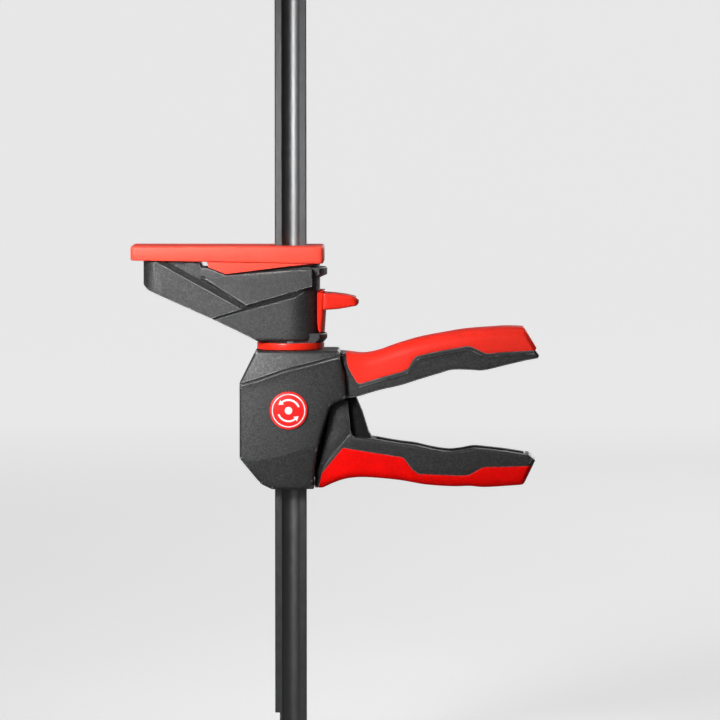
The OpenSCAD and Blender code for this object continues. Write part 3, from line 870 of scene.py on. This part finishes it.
HOUSING_HALF = 22
FACE_SETBACK = 0.75
CROWN = 1.3
RIGHT_CROWN = 2.2
UPPER_LEAN = 0.17
LOWER_LEAN = 0.13
LIP_HEIGHT = 0.25
GROOVE_DEPTH = 1.0
BADGE = (-0.7, 44)
BADGE_R = 10.5
BADGE_FACE = -22.18
BADGE_BACK = -21.2
MARK_FACE = -22.3
MARK_BACK = -22.0
BOSS_FACE = 21.7
BOSS_RADIUS = 5.3
HOUSING_SIDE = [
    (-19.1, HOUSING_TOP), (-27.9, 59.1), (-27.9, 17.2), (-16.2, 3), (-10.2, 0), (12.7, 0),
    (13.2, 0.4), (12.7, 4.7), (13.9, 13.6), (15.3, 22.2), (18.2, 32.7), (22.7, 46.9), (31.3, 50.1),
    (30.2, 62), (27.3, HOUSING_TOP)]
HOLLOW = [(-17.3, 73.8), (-24.9, 58.4), (-24.9, 18.3), (-14.1, 5.2), (40, 5.2), (40, 73.8)]
UPPER_GROOVE = [
    (-30, 58.3), (-25.4, 59.7), (-17.7, 61.8), (-2.6, 67.2), (9.4, 70.2), (25.1, 74.2), (30, 75.4)]
LOWER_CREASE = [(-30, 15.4), (-26.7, 15.7), (-13.4, 16.9), (-0.2, 20.5), (15.4, 25.9), (22, 28.5)]
SCREWS = [(-21.8, 58), (-21.8, 30), (-16, 9.6)]
ALL_SCREWS = SCREWS + [(23.5, 70.3)]


def housing_depth(x, h):
    """The housing's face: a leaning upper facet, the main face and a falling lower facet."""
    over = h - height_on(UPPER_GROOVE, x)
    under = height_on(LOWER_CREASE, x) - h
    main = HOUSING_HALF - FACE_SETBACK - (RIGHT_CROWN if x > -1 else CROWN) * ((x + 1) / 27) ** 2
    fade = min(1, max(0, (29 - x) / 14))
    if over > 0:
        upper = main + FACE_SETBACK - UPPER_LEAN * over
        return main + (upper - main) * (0.25 + 0.75 * fade)
    # The groove under the facet, a short lip, then the main face
    depth = main + LIP_HEIGHT * fade * math.exp(-((over + 2.1) / 0.9) ** 2)
    depth -= GROOVE_DEPTH * fade * smooth_step(-over / 0.5) * smooth_step((over + 1.9) / 0.6)
    if under > 0:
        depth -= LOWER_LEAN * under * smooth_step(under / 2)
    return depth


def rear_depth(x, h):
    """The back half is the same face with a flat boss round each screw."""
    near = min(math.dist((x, h), spot) for spot in ALL_SCREWS)
    depth = housing_depth(x, h)
    return depth + max(0, BOSS_FACE - depth) * smooth_step((BOSS_RADIUS - near) / 0.9)


BOSS_RINGS = [[(x + r * math.cos(math.radians(a)), h + r * math.sin(math.radians(a)))
               for a in range(0, 361, 15)]
              for x, h in ALL_SCREWS for r in (4.4, 4.7, 5.0, BOSS_RADIUS)]
GROOVE_STEPS = (0.4, 0.02, -0.15, -0.35, -0.5, -0.9, -1.3, -1.5, -1.7, -1.9, -2.3, -3.2)
HOUSING_LINES = shifted(UPPER_GROOVE, GROOVE_STEPS) + shifted(LOWER_CREASE, (0, -1, -2, -3, -4))


def hollow_depth(x, h):
    """How deep the hollow reaches: less beside the foot and behind the rounded right rim."""
    at_rim = 0.9 * smooth_step((x - 18) / 6) + 2.2 * smooth_step((x - 28.3) / 1.3)
    return 19 - 1.7 * smooth_step((40 - h) / 8) - at_rim


def housing_shell(name, sign):
    """One half of the housing; sign is 1 for the front and -1 for the back."""
    place = side(in_half(sign))
    depth, lines = (housing_depth, []) if sign == 1 else (rear_depth, BOSS_RINGS)
    shell = relief(name, rounded(HOUSING_SIDE, 2.2, 5), depth, lambda x, h: 0.05, place,
                   HOUSING_LINES + lines, edge=1.7, step=1.6, grid=2.6, round_bottom=False)
    hollow = relief("hollow", HOLLOW, hollow_depth, lambda x, h: -5, place,
                    columns((18, 20, 22, 24, 28.3, 28.9, 29.6), 0, 80), step=3, grid=3)
    neck = lathe("neck_hole", rectangle(0.2, 15.05, 60, 90), in_head)
    foot = lathe("foot_hole", rectangle(0.2, 11.25, -5, 20), in_head)
    return shell, [hollow, neck, foot]


front_shell, cuts = housing_shell("housing_front_shell", 1)
cuts.append(bar_mesh("badge_seat", *BADGE, BADGE_R + 0.2, -30, BADGE_BACK + 0.35, steps=72))
combine(front_shell, cuts, "DIFFERENCE")
combine(front_shell, [bar_mesh("post", *at, 2.3, -18.5, -0.06) for at in SCREWS], "UNION")
dress(front_shell, "black_plastic", "housing", "housing_front")

rear_shell, cuts = housing_shell("housing_rear_shell", -1)
combine(rear_shell, cuts, "DIFFERENCE")
combine(rear_shell, [bar_mesh("post", *at, 2.3, 0.06, 18.5) for at in SCREWS], "UNION")
combine(rear_shell, [bar_mesh("well", *at, 3.3, 20, 30) for at in ALL_SCREWS], "DIFFERENCE")
dress(rear_shell, "black_plastic", "housing", "housing_rear")

# --- Upper handle ---

GRIP_HALF = 14
PIVOT = (24.5, 60)
PLAY = 0.02
HANDLE_SPLIT = [
    (30.9, 75.3), (31.4, 69.9), (32.6, 66.4), (36.9, 59), (38.5, 58.2), (49.4, 61.5), (61.1, 64.8),
    (64.2, 66), (65.8, 67.6), (68.1, 71.8), (70.1, 73.6), (76.7, 75.2), (83.2, 76.5), (98.1, 79.2),
    (100.8, 78.7), (107, 75.6), (108.7, 75.1), (120.2, 76), (135.5, 76.8)]
HANDLE_TOP = spline([(129.3, 89.4), (120.2, 89.7), (111.7, 89.2), (103.2, 88.6), (94.7, 87.7),
                     (83.2, 85.7), (76.7, 84.5), (70.8, 83.2), (63.1, 81), (57.2, 79.1),
                     (51.3, 76.9), (45.5, 75.3), (39.7, 74.6), (31.4, 75.5)])
HANDLE_BOTTOM = [(137.8, 73.8), (136.8, 72.4)] + spline(
    [(130.8, 71.3), (120.2, 68.8), (109.6, 66.2), (104.9, 65.6), (98.9, 66), (89.6, 66),
     (83.2, 64.2), (72.8, 61.1), (61.1, 57.4), (49.4, 54.7), (37.7, 51.2), (33.4, 50.4)])
HANDLE_ROOT = [(30.6, 50), (29.6, 62), (29.6, 70), (28.2, 73.9), (27.8, 75.4)]
HANDLE_RIB = [
    (34, 70), (45, 70), (60, 74), (75, 78.5), (90, 82), (110, 84.5), (126, 84.5), (131, 79.5),
    (131, 75), (34, 58)]
HANDLE_END = [(129.3, 89.4), (136.3, 78), (137.8, 73.8)]
TOP_ACROSS = 6.5
END_BEVEL = 2.2
GRIP_LEAN = 0.07
RIM_ROUNDING = (1.1, 1.0)
HANDLE_RIB_HALF = 8
CORE_UNDER = 0.25
CORE_STEP = 0.35


def soften(loop, roundings, end, lean):
    """A half depth with a small bevel all round, roundings along some lines and a flat end bevel.

    roundings are (line, across, deep), and lean(x, h) is how far the flank has come in there.
    """
    def half(x, h):
        drops = [edge_drop(line_distance((x, h), line), across, deep)
                 for line, across, deep in roundings]
        drops.append(END_BEVEL - line_distance((x, h), end))
        small = edge_drop(loop_distance((x, h), loop), *RIM_ROUNDING)
        return GRIP_HALF - max(small, *drops) - lean(x, h)
    return half


def grip_split(line, radius):
    """The line between black and red plastic, its corners rounded and its ends kept."""
    return [line[0]] + rounded(line, radius, 4)[5:-5] + [line[-1]]


def grip_lean(x, h):
    """The red flank comes in towards the handle's top."""
    return GRIP_LEAN * line_distance((x, h), HANDLE_SPLIT) if h > height_on(HANDLE_SPLIT, x) else 0


handle_loop = rounded(
    HANDLE_TOP + HANDLE_ROOT[::-1] + HANDLE_BOTTOM[::-1] + [HANDLE_END[1]], 0.8, 2)
handle_half = soften(handle_loop, [(HANDLE_TOP, TOP_ACROSS, 6.0)], HANDLE_END, grip_lean)
handle_rings = open_rings(handle_loop, TOP_ACROSS, 7) + parallel_lines(handle_loop, (-END_BEVEL,))
split = grip_split(HANDLE_SPLIT, 1.6)

handle_red = flanks("handle_grip_soft", split + [HANDLE_END[1]] + HANDLE_TOP, handle_half,
                    handle_rings, edge=0.45)
combine(handle_red, [block("rib", HANDLE_RIB, HANDLE_RIB_HALF + PLAY)], "DIFFERENCE")
dress(handle_red, "grip_red", "housing", "handle_grip")


def core_half(x, h):
    """The black core's half depth, a little under the grip, with a shallow step by the split."""
    gap = line_distance((x, h), HANDLE_SPLIT)
    return handle_half(x, h) - CORE_UNDER - CORE_STEP * smooth_step((gap - 1.7) / 0.7)


handle_black = flanks("handle_core_shell", split + HANDLE_BOTTOM + HANDLE_ROOT, core_half,
                      handle_rings + shifted(HANDLE_SPLIT[4:], (-1.8, -2.1, -2.5)), edge=0.35)
combine(handle_black, [
    block("rib", HANDLE_RIB, HANDLE_RIB_HALF),
    box_mesh("root", (19.4, -18.8, 66.8), (27, 18.8, 73.6)),
    box_mesh("root_link", (19.4, -13.6, 66.8), (31, 13.6, 73.6)),
    *(box_mesh("ear", (17.5, y - 1.4, 51), (28.3, y + 1.4, 70)) for y in (-16.6, 16.6)),
], "UNION")
combine(handle_black, [
    box_mesh("hub_room", (18, -15.1, 40), (29.4, 15.1, 66.6)),
    box_mesh("plate_room", (28, -12.4, 40), (38.4, 12.4, 55)),
    box_mesh("web_room", (28, -7.5, 40), (42.4, 7.5, 60)),
    bar_mesh("pin_hole", *PIVOT, 2.5, -20, 20),
], "DIFFERENCE")
dress(handle_black, "black_plastic", "housing", "handle_core")

# --- Trigger ---

TRIGGER_SPLIT = [
    (17.4, 8.3), (29.1, 22.6), (61.4, 17.5), (63.1, 16.7), (67.3, 10.9), (71, 8.1), (95.1, 7.2),
    (99.3, 7.6), (106.2, 11.6), (108.5, 12), (120, 12.2), (134.3, 12.7)]
TRIGGER_TOP = [(135.7, 15.8), (132.2, 18.9)] + spline(
    [(130.6, 18.9), (120, 20.6), (108.5, 21.9), (101.6, 22.4), (94.7, 21.2), (87.8, 20.6),
     (78.6, 21.9), (69.3, 24), (59.2, 25.3), (46.5, 27.5), (35.4, 28.8)])
COVER_EDGE = [(33.5, 31.9), (25.2, 21.9), (17.2, 11.8), (14.6, 6.7), (13.6, 2.4), (13.6, 0.4)]
TRIGGER_LOW = [(129.7, 3.1), (128.8, 2.1)] + spline(
    [(127, 1.8), (108.5, 0.6), (99.3, 1.2), (90, 1), (75, 2), (60, 4.5), (42.2, 6), (32.1, 5.4),
     (25.2, 3.4), (18.4, 0.3)])
TRIGGER_RIB = [
    (26, 20), (40, 24), (60, 20), (80, 17), (128, 16.5), (128, 9), (105, 8), (75, 5), (40, 9),
    (24, 8)]
NECK_PLATE = [
    (14.8, 7.2), (17.2, 11.8), (25.2, 21.9), (33.5, 31.9), (31.8, 48.5), (25.2, 50), (22, 49),
    (21.6, 40), (19.7, 27.9), (16.7, 15.2), (15, 8.8)]
NECK_WEB = [
    (24, 8), (40, 9), (48, 22), (45.1, 27.9), (43.1, 31.4), (39.6, 42.7), (36.5, 50), (30, 56),
    (20.6, 56), (19.5, 54), (18.1, 46), (18.1, 42), (15.2, 34), (13.4, 30), (13.4, 13),
    (13.45, 10.2), (13.45, 5), (13.5, 1), (15.5, 1)]
CHANNEL = [
    (47.5, 30), (47.5, 24.9), (59.2, 22.8), (69.3, 21.5), (78.6, 19.4), (87.8, 18.1), (94.7, 18.7),
    (101.6, 19.9), (108.5, 19.4), (120, 18.1), (128.8, 16.8), (130.5, 18), (130.5, 30)]

CHANNEL_HALF = 6.5
COVER_UNDER = 0.2
TRIGGER_RIB_HALF = 6
WEB_HALF = 7
TRIGGER_LEAN = 0.08
TRIGGER_END = [(135.7, 15.8), (134.3, 12.7), (129.7, 3.1)]
TOP_ROUNDING = (1.5, 1.3)
LOW_ROUNDING = (4.5, 3.6)

trigger_loop = rounded(TRIGGER_TOP + COVER_EDGE + [(15.4, 0.3)] + TRIGGER_LOW[::-1], 0.6, 2)
trigger_half = soften(
    trigger_loop, [(TRIGGER_TOP, *TOP_ROUNDING), (TRIGGER_LOW, *LOW_ROUNDING)], TRIGGER_END,
    lambda x, h: TRIGGER_LEAN * line_distance((x, h), TRIGGER_TOP[2:]))
trigger_rings = (open_rings(trigger_loop, TOP_ROUNDING[0], 4)
                 + open_rings(trigger_loop, LOW_ROUNDING[0], 5)
                 + parallel_lines(trigger_loop, (-END_BEVEL,)))
trigger_split = grip_split(TRIGGER_SPLIT, 1.3)
cover_loop = trigger_split + TRIGGER_TOP + COVER_EDGE + [(15.4, 0.3), (16.3, 3.2)]


def trigger_core_room():
    """Blocks to cut the room for the trigger's inner rib and web."""
    return [block("rib", TRIGGER_RIB, TRIGGER_RIB_HALF + PLAY),
            block("web", NECK_WEB, WEB_HALF + PLAY)]


def trigger_cover(name, sign, node):
    """Half of the trigger's black cover, split along its middle."""
    cover = relief(name, cover_loop, lambda x, h: trigger_half(x, h) - COVER_UNDER,
                   lambda x, h: COVER_UNDER, side(in_half(sign)), trigger_rings, edge=0.4)
    combine(cover, trigger_core_room() + [block("channel", CHANNEL, CHANNEL_HALF)], "DIFFERENCE")
    dress(cover, "black_plastic", "trigger", node)
    paint_shade_inside(cover, CHANNEL_HALF + PLAY)


trigger_cover("trigger_cover_front_shell", 1, "trigger_cover_front")
trigger_cover("trigger_cover_rear_shell", -1, "trigger_cover_rear")

trigger_red_painted_shade = flanks("trigger_grip_soft", trigger_split + TRIGGER_LOW + [(15.5, 0.3), (16.4, 3.2)],
                     trigger_half, trigger_rings, edge=0.45)
combine(trigger_red_painted_shade, trigger_core_room(), "DIFFERENCE")
# The trigger's grip is the grip's red plastic, given painted shade through its darker copy.
dress(trigger_red_painted_shade, "grip_red", "trigger", "trigger_grip", material=GRIP_RED_PAINTED_SHADE)

neck = flanks("trigger_neck_moulding", NECK_WEB, WEB_HALF, edge=0.5, step=2, grid=5)
neck_plates = flanks("plates", NECK_PLATE, 12, edge=0.4, step=2, grid=5)
combine(neck, [neck_plates, block("rib", TRIGGER_RIB, TRIGGER_RIB_HALF)], "UNION")
combine(neck, [bar_mesh("hub_seat", *PIVOT, 4.55, -20, 20)], "DIFFERENCE")
dress(neck, "black_plastic", "trigger", "trigger_neck")
paint_shade_inside(neck, WEB_HALF + PLAY)

# Small metal tab that closes the channel at the trigger's end
TAB = [(129, 16.2), (130.2, 16.2), (130.4, 19.3), (129.4, 19.5)]
channel_tab = flanks("trigger_channel_tab", TAB, 5.4, edge=0.25, step=0.5, grid=1)
dress(channel_tab, "zinc_casting", "trigger")

# --- Badge ---

badge = bar_mesh("badge_disc", *BADGE, BADGE_R, BADGE_FACE, BADGE_BACK, steps=96, bevel=0.25)
dress(badge, "badge_red", "housing", "badge")


def swivel_mark(name):
    """A ring, two curved arrows and a dot: the sign for a part that turns."""
    def finish(bm):
        for vert in bm.verts:
            vert.co = in_head(*vert.co)
        return finish_mesh(name, bm)

    def band(r_in, r_out, start, end, steps):
        bm = bmesh.new()
        rows = []
        for i in range(steps + 1):
            turn = math.radians(start + (end - start) * i / steps)
            rows.append([
                bm.verts.new((BADGE[0] + r * math.cos(turn), y, BADGE[1] + r * math.sin(turn)))
                for r, y in ((r_in, MARK_FACE), (r_out, MARK_FACE), (r_out, MARK_BACK),
                             (r_in, MARK_BACK))])
        for a, b in zip(rows, rows[1:]):
            for k in range(4):
                bm.faces.new([a[k], a[(k + 1) % 4], b[(k + 1) % 4], b[k]])
        if end - start < 360:
            bm.faces.new(rows[0])
            bm.faces.new(rows[-1][::-1])
        bmesh.ops.remove_doubles(bm, verts=bm.verts, dist=WELD)
        return finish(bm)

    def head(turn_deg):
        turn = math.radians(turn_deg)
        radial = Vector((math.cos(turn), math.sin(turn)))
        along = Vector((-math.sin(turn), math.cos(turn)))
        centre = Vector(BADGE)
        tips = [centre + radial * 4.3, centre + radial * 7.5, centre + radial * 5.9 + along * 2.4]
        bm = bmesh.new()
        front = [bm.verts.new((t.x, MARK_FACE, t.y)) for t in tips]
        back = [bm.verts.new((t.x, MARK_BACK, t.y)) for t in tips]
        bm.faces.new(front)
        bm.faces.new(back[::-1])
        for i in range(3):
            j = (i + 1) % 3
            bm.faces.new([front[i], front[j], back[j], back[i]])
        return finish(bm)

    return add_parts(band(8.7, 9.25, 0, 360, 96), [
        band(5.4, 6.4, 20, 128, 32), band(5.4, 6.4, 200, 308, 32), band(0.0001, 2.1, 0, 360, 48),
        head(128), head(308)])


dress(swivel_mark("badge_mark"), "badge_red", "housing", material=BADGE_WHITE)

# --- Release lever ---

TAB_SIDE = [
    (17.8, 108.4), (24, 108.1), (31, 107.2), (36.2, 106), (37.6, 105), (37.9, 103.4), (37.6, 102),
    (36.4, 101.1), (27, 99.4), (17.8, 98.7)]
TAB_HALF = 8.6
TAB_ROUNDING = 4
TAB_ROUND_FROM = 33.9
PLATE_TILT = math.radians(4.5)


def tab_half(x, h):
    """The thumb tab's half width, rounded in plan towards its end."""
    end = max(0, x - TAB_ROUND_FROM)
    return TAB_HALF - TAB_ROUNDING + math.sqrt(max(0.01, TAB_ROUNDING ** 2 - end ** 2))


def strip_outside(y, h):
    """The curved strip's outer side, which leans outwards."""
    return math.sqrt((18.9 + 1.2 * min(1, max(0, (h - 86.6) / 17.4))) ** 2 - y * y)


def strip_inside(y, h):
    """Its inner side, a little further out at the foot."""
    return math.sqrt((17.2 + 0.5 * min(1, max(0, (92 - h) / 5.7))) ** 2 - y * y)


lever = relief("release_lever_moulding", rounded(rectangle(-8.6, 8.6, 86.2, 109.9), 1.8, 5),
               strip_outside, strip_inside, lambda u, v, w: in_head(w, u, v), edge=0.8, step=1.2,
               grid=1.8, round_bottom=False)
tab = flanks("tab", rounded(TAB_SIDE, 1.2), tab_half,
             columns((TAB_ROUND_FROM, 35.2, 36.2, 36.9, 37.4), 95, 112), edge=1.3, step=1, grid=1.6)
root = box_mesh("root", (14.2, -5.2, 93.6), (18.6, 5.2, 104.6))
combine(lever, [tab, root], "UNION")


def along_plate(x, y, h):
    """A point beside the tilted brake plate that the lever holds."""
    cos, sin = math.cos(PLATE_TILT), math.sin(PLATE_TILT)
    return in_head(-14 + x * cos - h * sin, y, 97 + x * sin + h * cos)


plate_slot = box_mesh("plate_slot", (20, -3.2, -3.4), (31.5, 3.2, 3.4), along_plate)
combine(lever, [plate_slot], "DIFFERENCE")
dress(lever, "red_plastic", "release", "release_lever")

# --- Lock button, end stop and screws ---

LOCK_H = 100.5
LOCK_HALF = 3.5
LOCK_BAR_HALF = 2.6
# Two arms past the rail, the bridge that joins them and the hook that meets the rail
LOCK_BARS = [
    (-16, 15, -7.6, -5.0), (-16, 15, 5.0, 7.6), (-16, -12.2, -7.6, 7.6), (-12.4, -6.45, -3.6, 3.6)]
button = prism("lock_button_moulding", rounded(rectangle(12, 20.3, -7.8, 7.8), 2),
               -LOCK_HALF - LOCK_H, LOCK_HALF - LOCK_H, lambda u, v, w: in_fixed_jaw(u, v, -w),
               edge=0.8, step=1.5, grid=2.5)
combine(button, [
    box_mesh("bar", (x0, y0, LOCK_H - LOCK_BAR_HALF), (x1, y1, LOCK_H + LOCK_BAR_HALF),
             in_fixed_jaw)
    for x0, x1, y0, y1 in LOCK_BARS], "UNION")
combine(button, [bar_mesh("rib", 20.75, LOCK_H + d, 0.75, -5.5, 5.5, in_fixed_jaw, 20)
                 for d in (-1.6, 0, 1.6)], "DIFFERENCE")
dress(button, "red_plastic", "lock_button", "lock_button")

STOP_H = 14
stop = prism("end_stop_moulding", rounded(rectangle(-16, 16, -11, 11), 5, 6),
             0, STOP_H, on_floor, edge=1.4, step=2, grid=4)
combine(stop, [rail_slot(*RAIL_FIT, -2, 20, on_floor),
               bar_mesh("pin_hole", 0, STOP_H / 2, 2, -12, 12, on_floor)], "DIFFERENCE")
dress(stop, "black_plastic", "rail", "end_stop")


def screw(x, h):
    """A housing screw: its head is round-edged with a cross recess."""
    head = bar_mesh("housing_screw_set", x, h, 3, 20, 21.8, steps=48, bevel=0.45)
    blades = [box_mesh("blade", (x - a, 20.7, h - b), (x + a, 23, h + b))
              for a, b in ((1.75, 0.38), (0.38, 1.75))]
    combine(head, blades, "DIFFERENCE")
    return combine(head, [bar_mesh("shank", x, h, 1.45, -16, 20.2, steps=32)], "UNION")


screws = [screw(x, h) for x, h in ALL_SCREWS]
dress(add_parts(screws[0], screws[1:]), "pin_steel", "housing", "housing_screws")

# --- Camera, light and floor ---

PIXELS = 720
PIXELS_PER_MM = 1.8
RAIL_PIXEL_X = 290.8
BASE_PIXEL_Y = 487.1
VIEW_DISTANCE = 3.0
VIEW_AZIMUTH = math.radians(1.5)
VIEW_ELEVATION = math.radians(3.5)
RING_H = 79
# Metres
FLOOR_REACH = 6.0
CURVE_START = 5.0
CURVE_RADIUS = 1.5
BACKDROP_HEIGHT = 5.0
GLOSSY_GLOW = 0.15
WORLD_LIGHT = 0.045
WORLD_SEEN = 0.65


def make_camera():
    """The camera, aimed at the picture's centre from the viewing angle at the ring."""
    centre = Vector(((PIXELS / 2 - RAIL_PIXEL_X) / PIXELS_PER_MM * MM, 0,
                     (HEAD_Z + (BASE_PIXEL_Y - PIXELS / 2) / PIXELS_PER_MM) * MM))
    ring_point = Vector((0, 0, (HEAD_Z + RING_H) * MM))
    eye = ring_point + VIEW_DISTANCE * Vector((
        math.sin(VIEW_AZIMUTH) * math.cos(VIEW_ELEVATION),
        -math.cos(VIEW_AZIMUTH) * math.cos(VIEW_ELEVATION), math.sin(VIEW_ELEVATION)))
    data = bpy.data.cameras.new("camera")
    data.sensor_width = 36
    data.lens = data.sensor_width * (eye - centre).length / (PIXELS / PIXELS_PER_MM * MM)
    data.clip_end = 20
    camera = bpy.data.objects.new("camera", data)
    camera.location = eye
    camera.rotation_euler = (centre - eye).to_track_quat("-Z", "Y").to_euler()
    bpy.context.scene.collection.objects.link(camera)
    bpy.context.scene.camera = camera


def area_light(name, position, aim, size, watts, spread=180):
    """A lamp that the camera doesn't see; spread is its cone in degrees."""
    data = bpy.data.lights.new(name, "AREA")
    data.spread = math.radians(spread)
    data.shape = "RECTANGLE"
    data.size, data.size_y = size
    data.energy = watts
    light = bpy.data.objects.new(name, data)
    light.visible_camera = False
    light.location = position
    light.rotation_euler = (Vector(aim) - Vector(position)).to_track_quat("-Z", "Y").to_euler()
    bpy.context.scene.collection.objects.link(light)


def make_floor():
    """A pale floor that curves up into a backdrop far behind."""
    bm = bmesh.new()
    turns = [math.radians(a) for a in range(0, 91, 6)]
    profile = [(-FLOOR_REACH, 0)] + [
        (CURVE_START + CURVE_RADIUS * math.sin(a), CURVE_RADIUS - CURVE_RADIUS * math.cos(a))
        for a in turns] + [(CURVE_START + CURVE_RADIUS, BACKDROP_HEIGHT)]
    rows = [[bm.verts.new((x, y, z)) for y, z in profile] for x in (-FLOOR_REACH, FLOOR_REACH)]
    for i in range(len(profile) - 1):
        bm.faces.new([rows[0][i], rows[1][i], rows[1][i + 1], rows[0][i + 1]])
    floor = link_mesh("floor", bm)
    n = Nodes("floor_paper")
    n.shader.inputs["Roughness"].default_value = 0.9
    tone = n.ramp(n.noise(3, 2), "Fac", [(0.3, 0.40), (0.7, 0.42)])
    n.join(tone, "Color", n.shader, "Base Color")
    # Seen directly or in a reflection the backdrop glows up to white, and gives no light itself
    path = n.add("ShaderNodeLightPath")
    mirrored = n.calculate("MULTIPLY", (path, "Is Glossy Ray"), GLOSSY_GLOW)
    seen = n.calculate("MAXIMUM", (path, "Is Camera Ray"), mirrored)
    seen = n.calculate("MAXIMUM", seen, (path, "Is Transmission Ray"))
    axes = n.add("ShaderNodeSeparateXYZ")
    n.join(n.place, "Object", axes, "Vector")
    behind = n.add("ShaderNodeMapRange", **{"From Max": 2.6, "To Min": 0.52, "To Max": 0.78})
    n.join(axes, "Y", behind, "Value")
    n.shader.inputs["Emission Color"].default_value = (1, 1, 1, 1)
    n.feed(n.calculate("MULTIPLY", seen, (behind, "Result")), n.shader.inputs["Emission Strength"])
    floor.data.materials.append(n.material)


def make_world():
    """A pale surround where the camera looks past the floor, and a low plain light elsewhere."""
    world = bpy.data.worlds.new("studio")
    world.use_nodes = True
    tree = world.node_tree
    tree.nodes.clear()
    output = tree.nodes.new("ShaderNodeOutputWorld")
    background = tree.nodes.new("ShaderNodeBackground")
    background.inputs["Color"].default_value = (1, 1, 1, 1)
    path = tree.nodes.new("ShaderNodeLightPath")
    level = tree.nodes.new("ShaderNodeMapRange")
    level.inputs["To Min"].default_value = WORLD_LIGHT
    level.inputs["To Max"].default_value = WORLD_SEEN
    tree.links.new(path.outputs["Is Camera Ray"], level.inputs["Value"])
    tree.links.new(level.outputs["Result"], background.inputs["Strength"])
    tree.links.new(background.outputs[0], output.inputs["Surface"])
    bpy.context.scene.world = world


make_camera()
make_floor()
make_world()
area_light("key", (-0.53, -0.89, 0.66), (-0.04, 0, 0.33), (0.32, 0.32), 1.3, 70)
area_light("accent", (-0.20, -0.40, 0.40), (-0.07, 0, 0.25), (0.12, 0.12), 0.24, 50)
area_light("side", (-0.9, -0.5, 0.45), (0, 0, 0.36), (0.08, 0.5), 0.06, 60)
area_light("fill", (-1.0, -2.1, 0.85), (0, 0, 0.25), (1.2, 1.2), 7.5)
area_light("back", (0.9, 2.1, 0.9), (0, 0, 0.25), (1.2, 1.2), 3, 60)
area_light("top", (-0.1, 0.0, 1.7), (0, 0, 0.2), (0.9, 0.9), 3)
bpy.context.scene.view_settings.view_transform = "Standard"
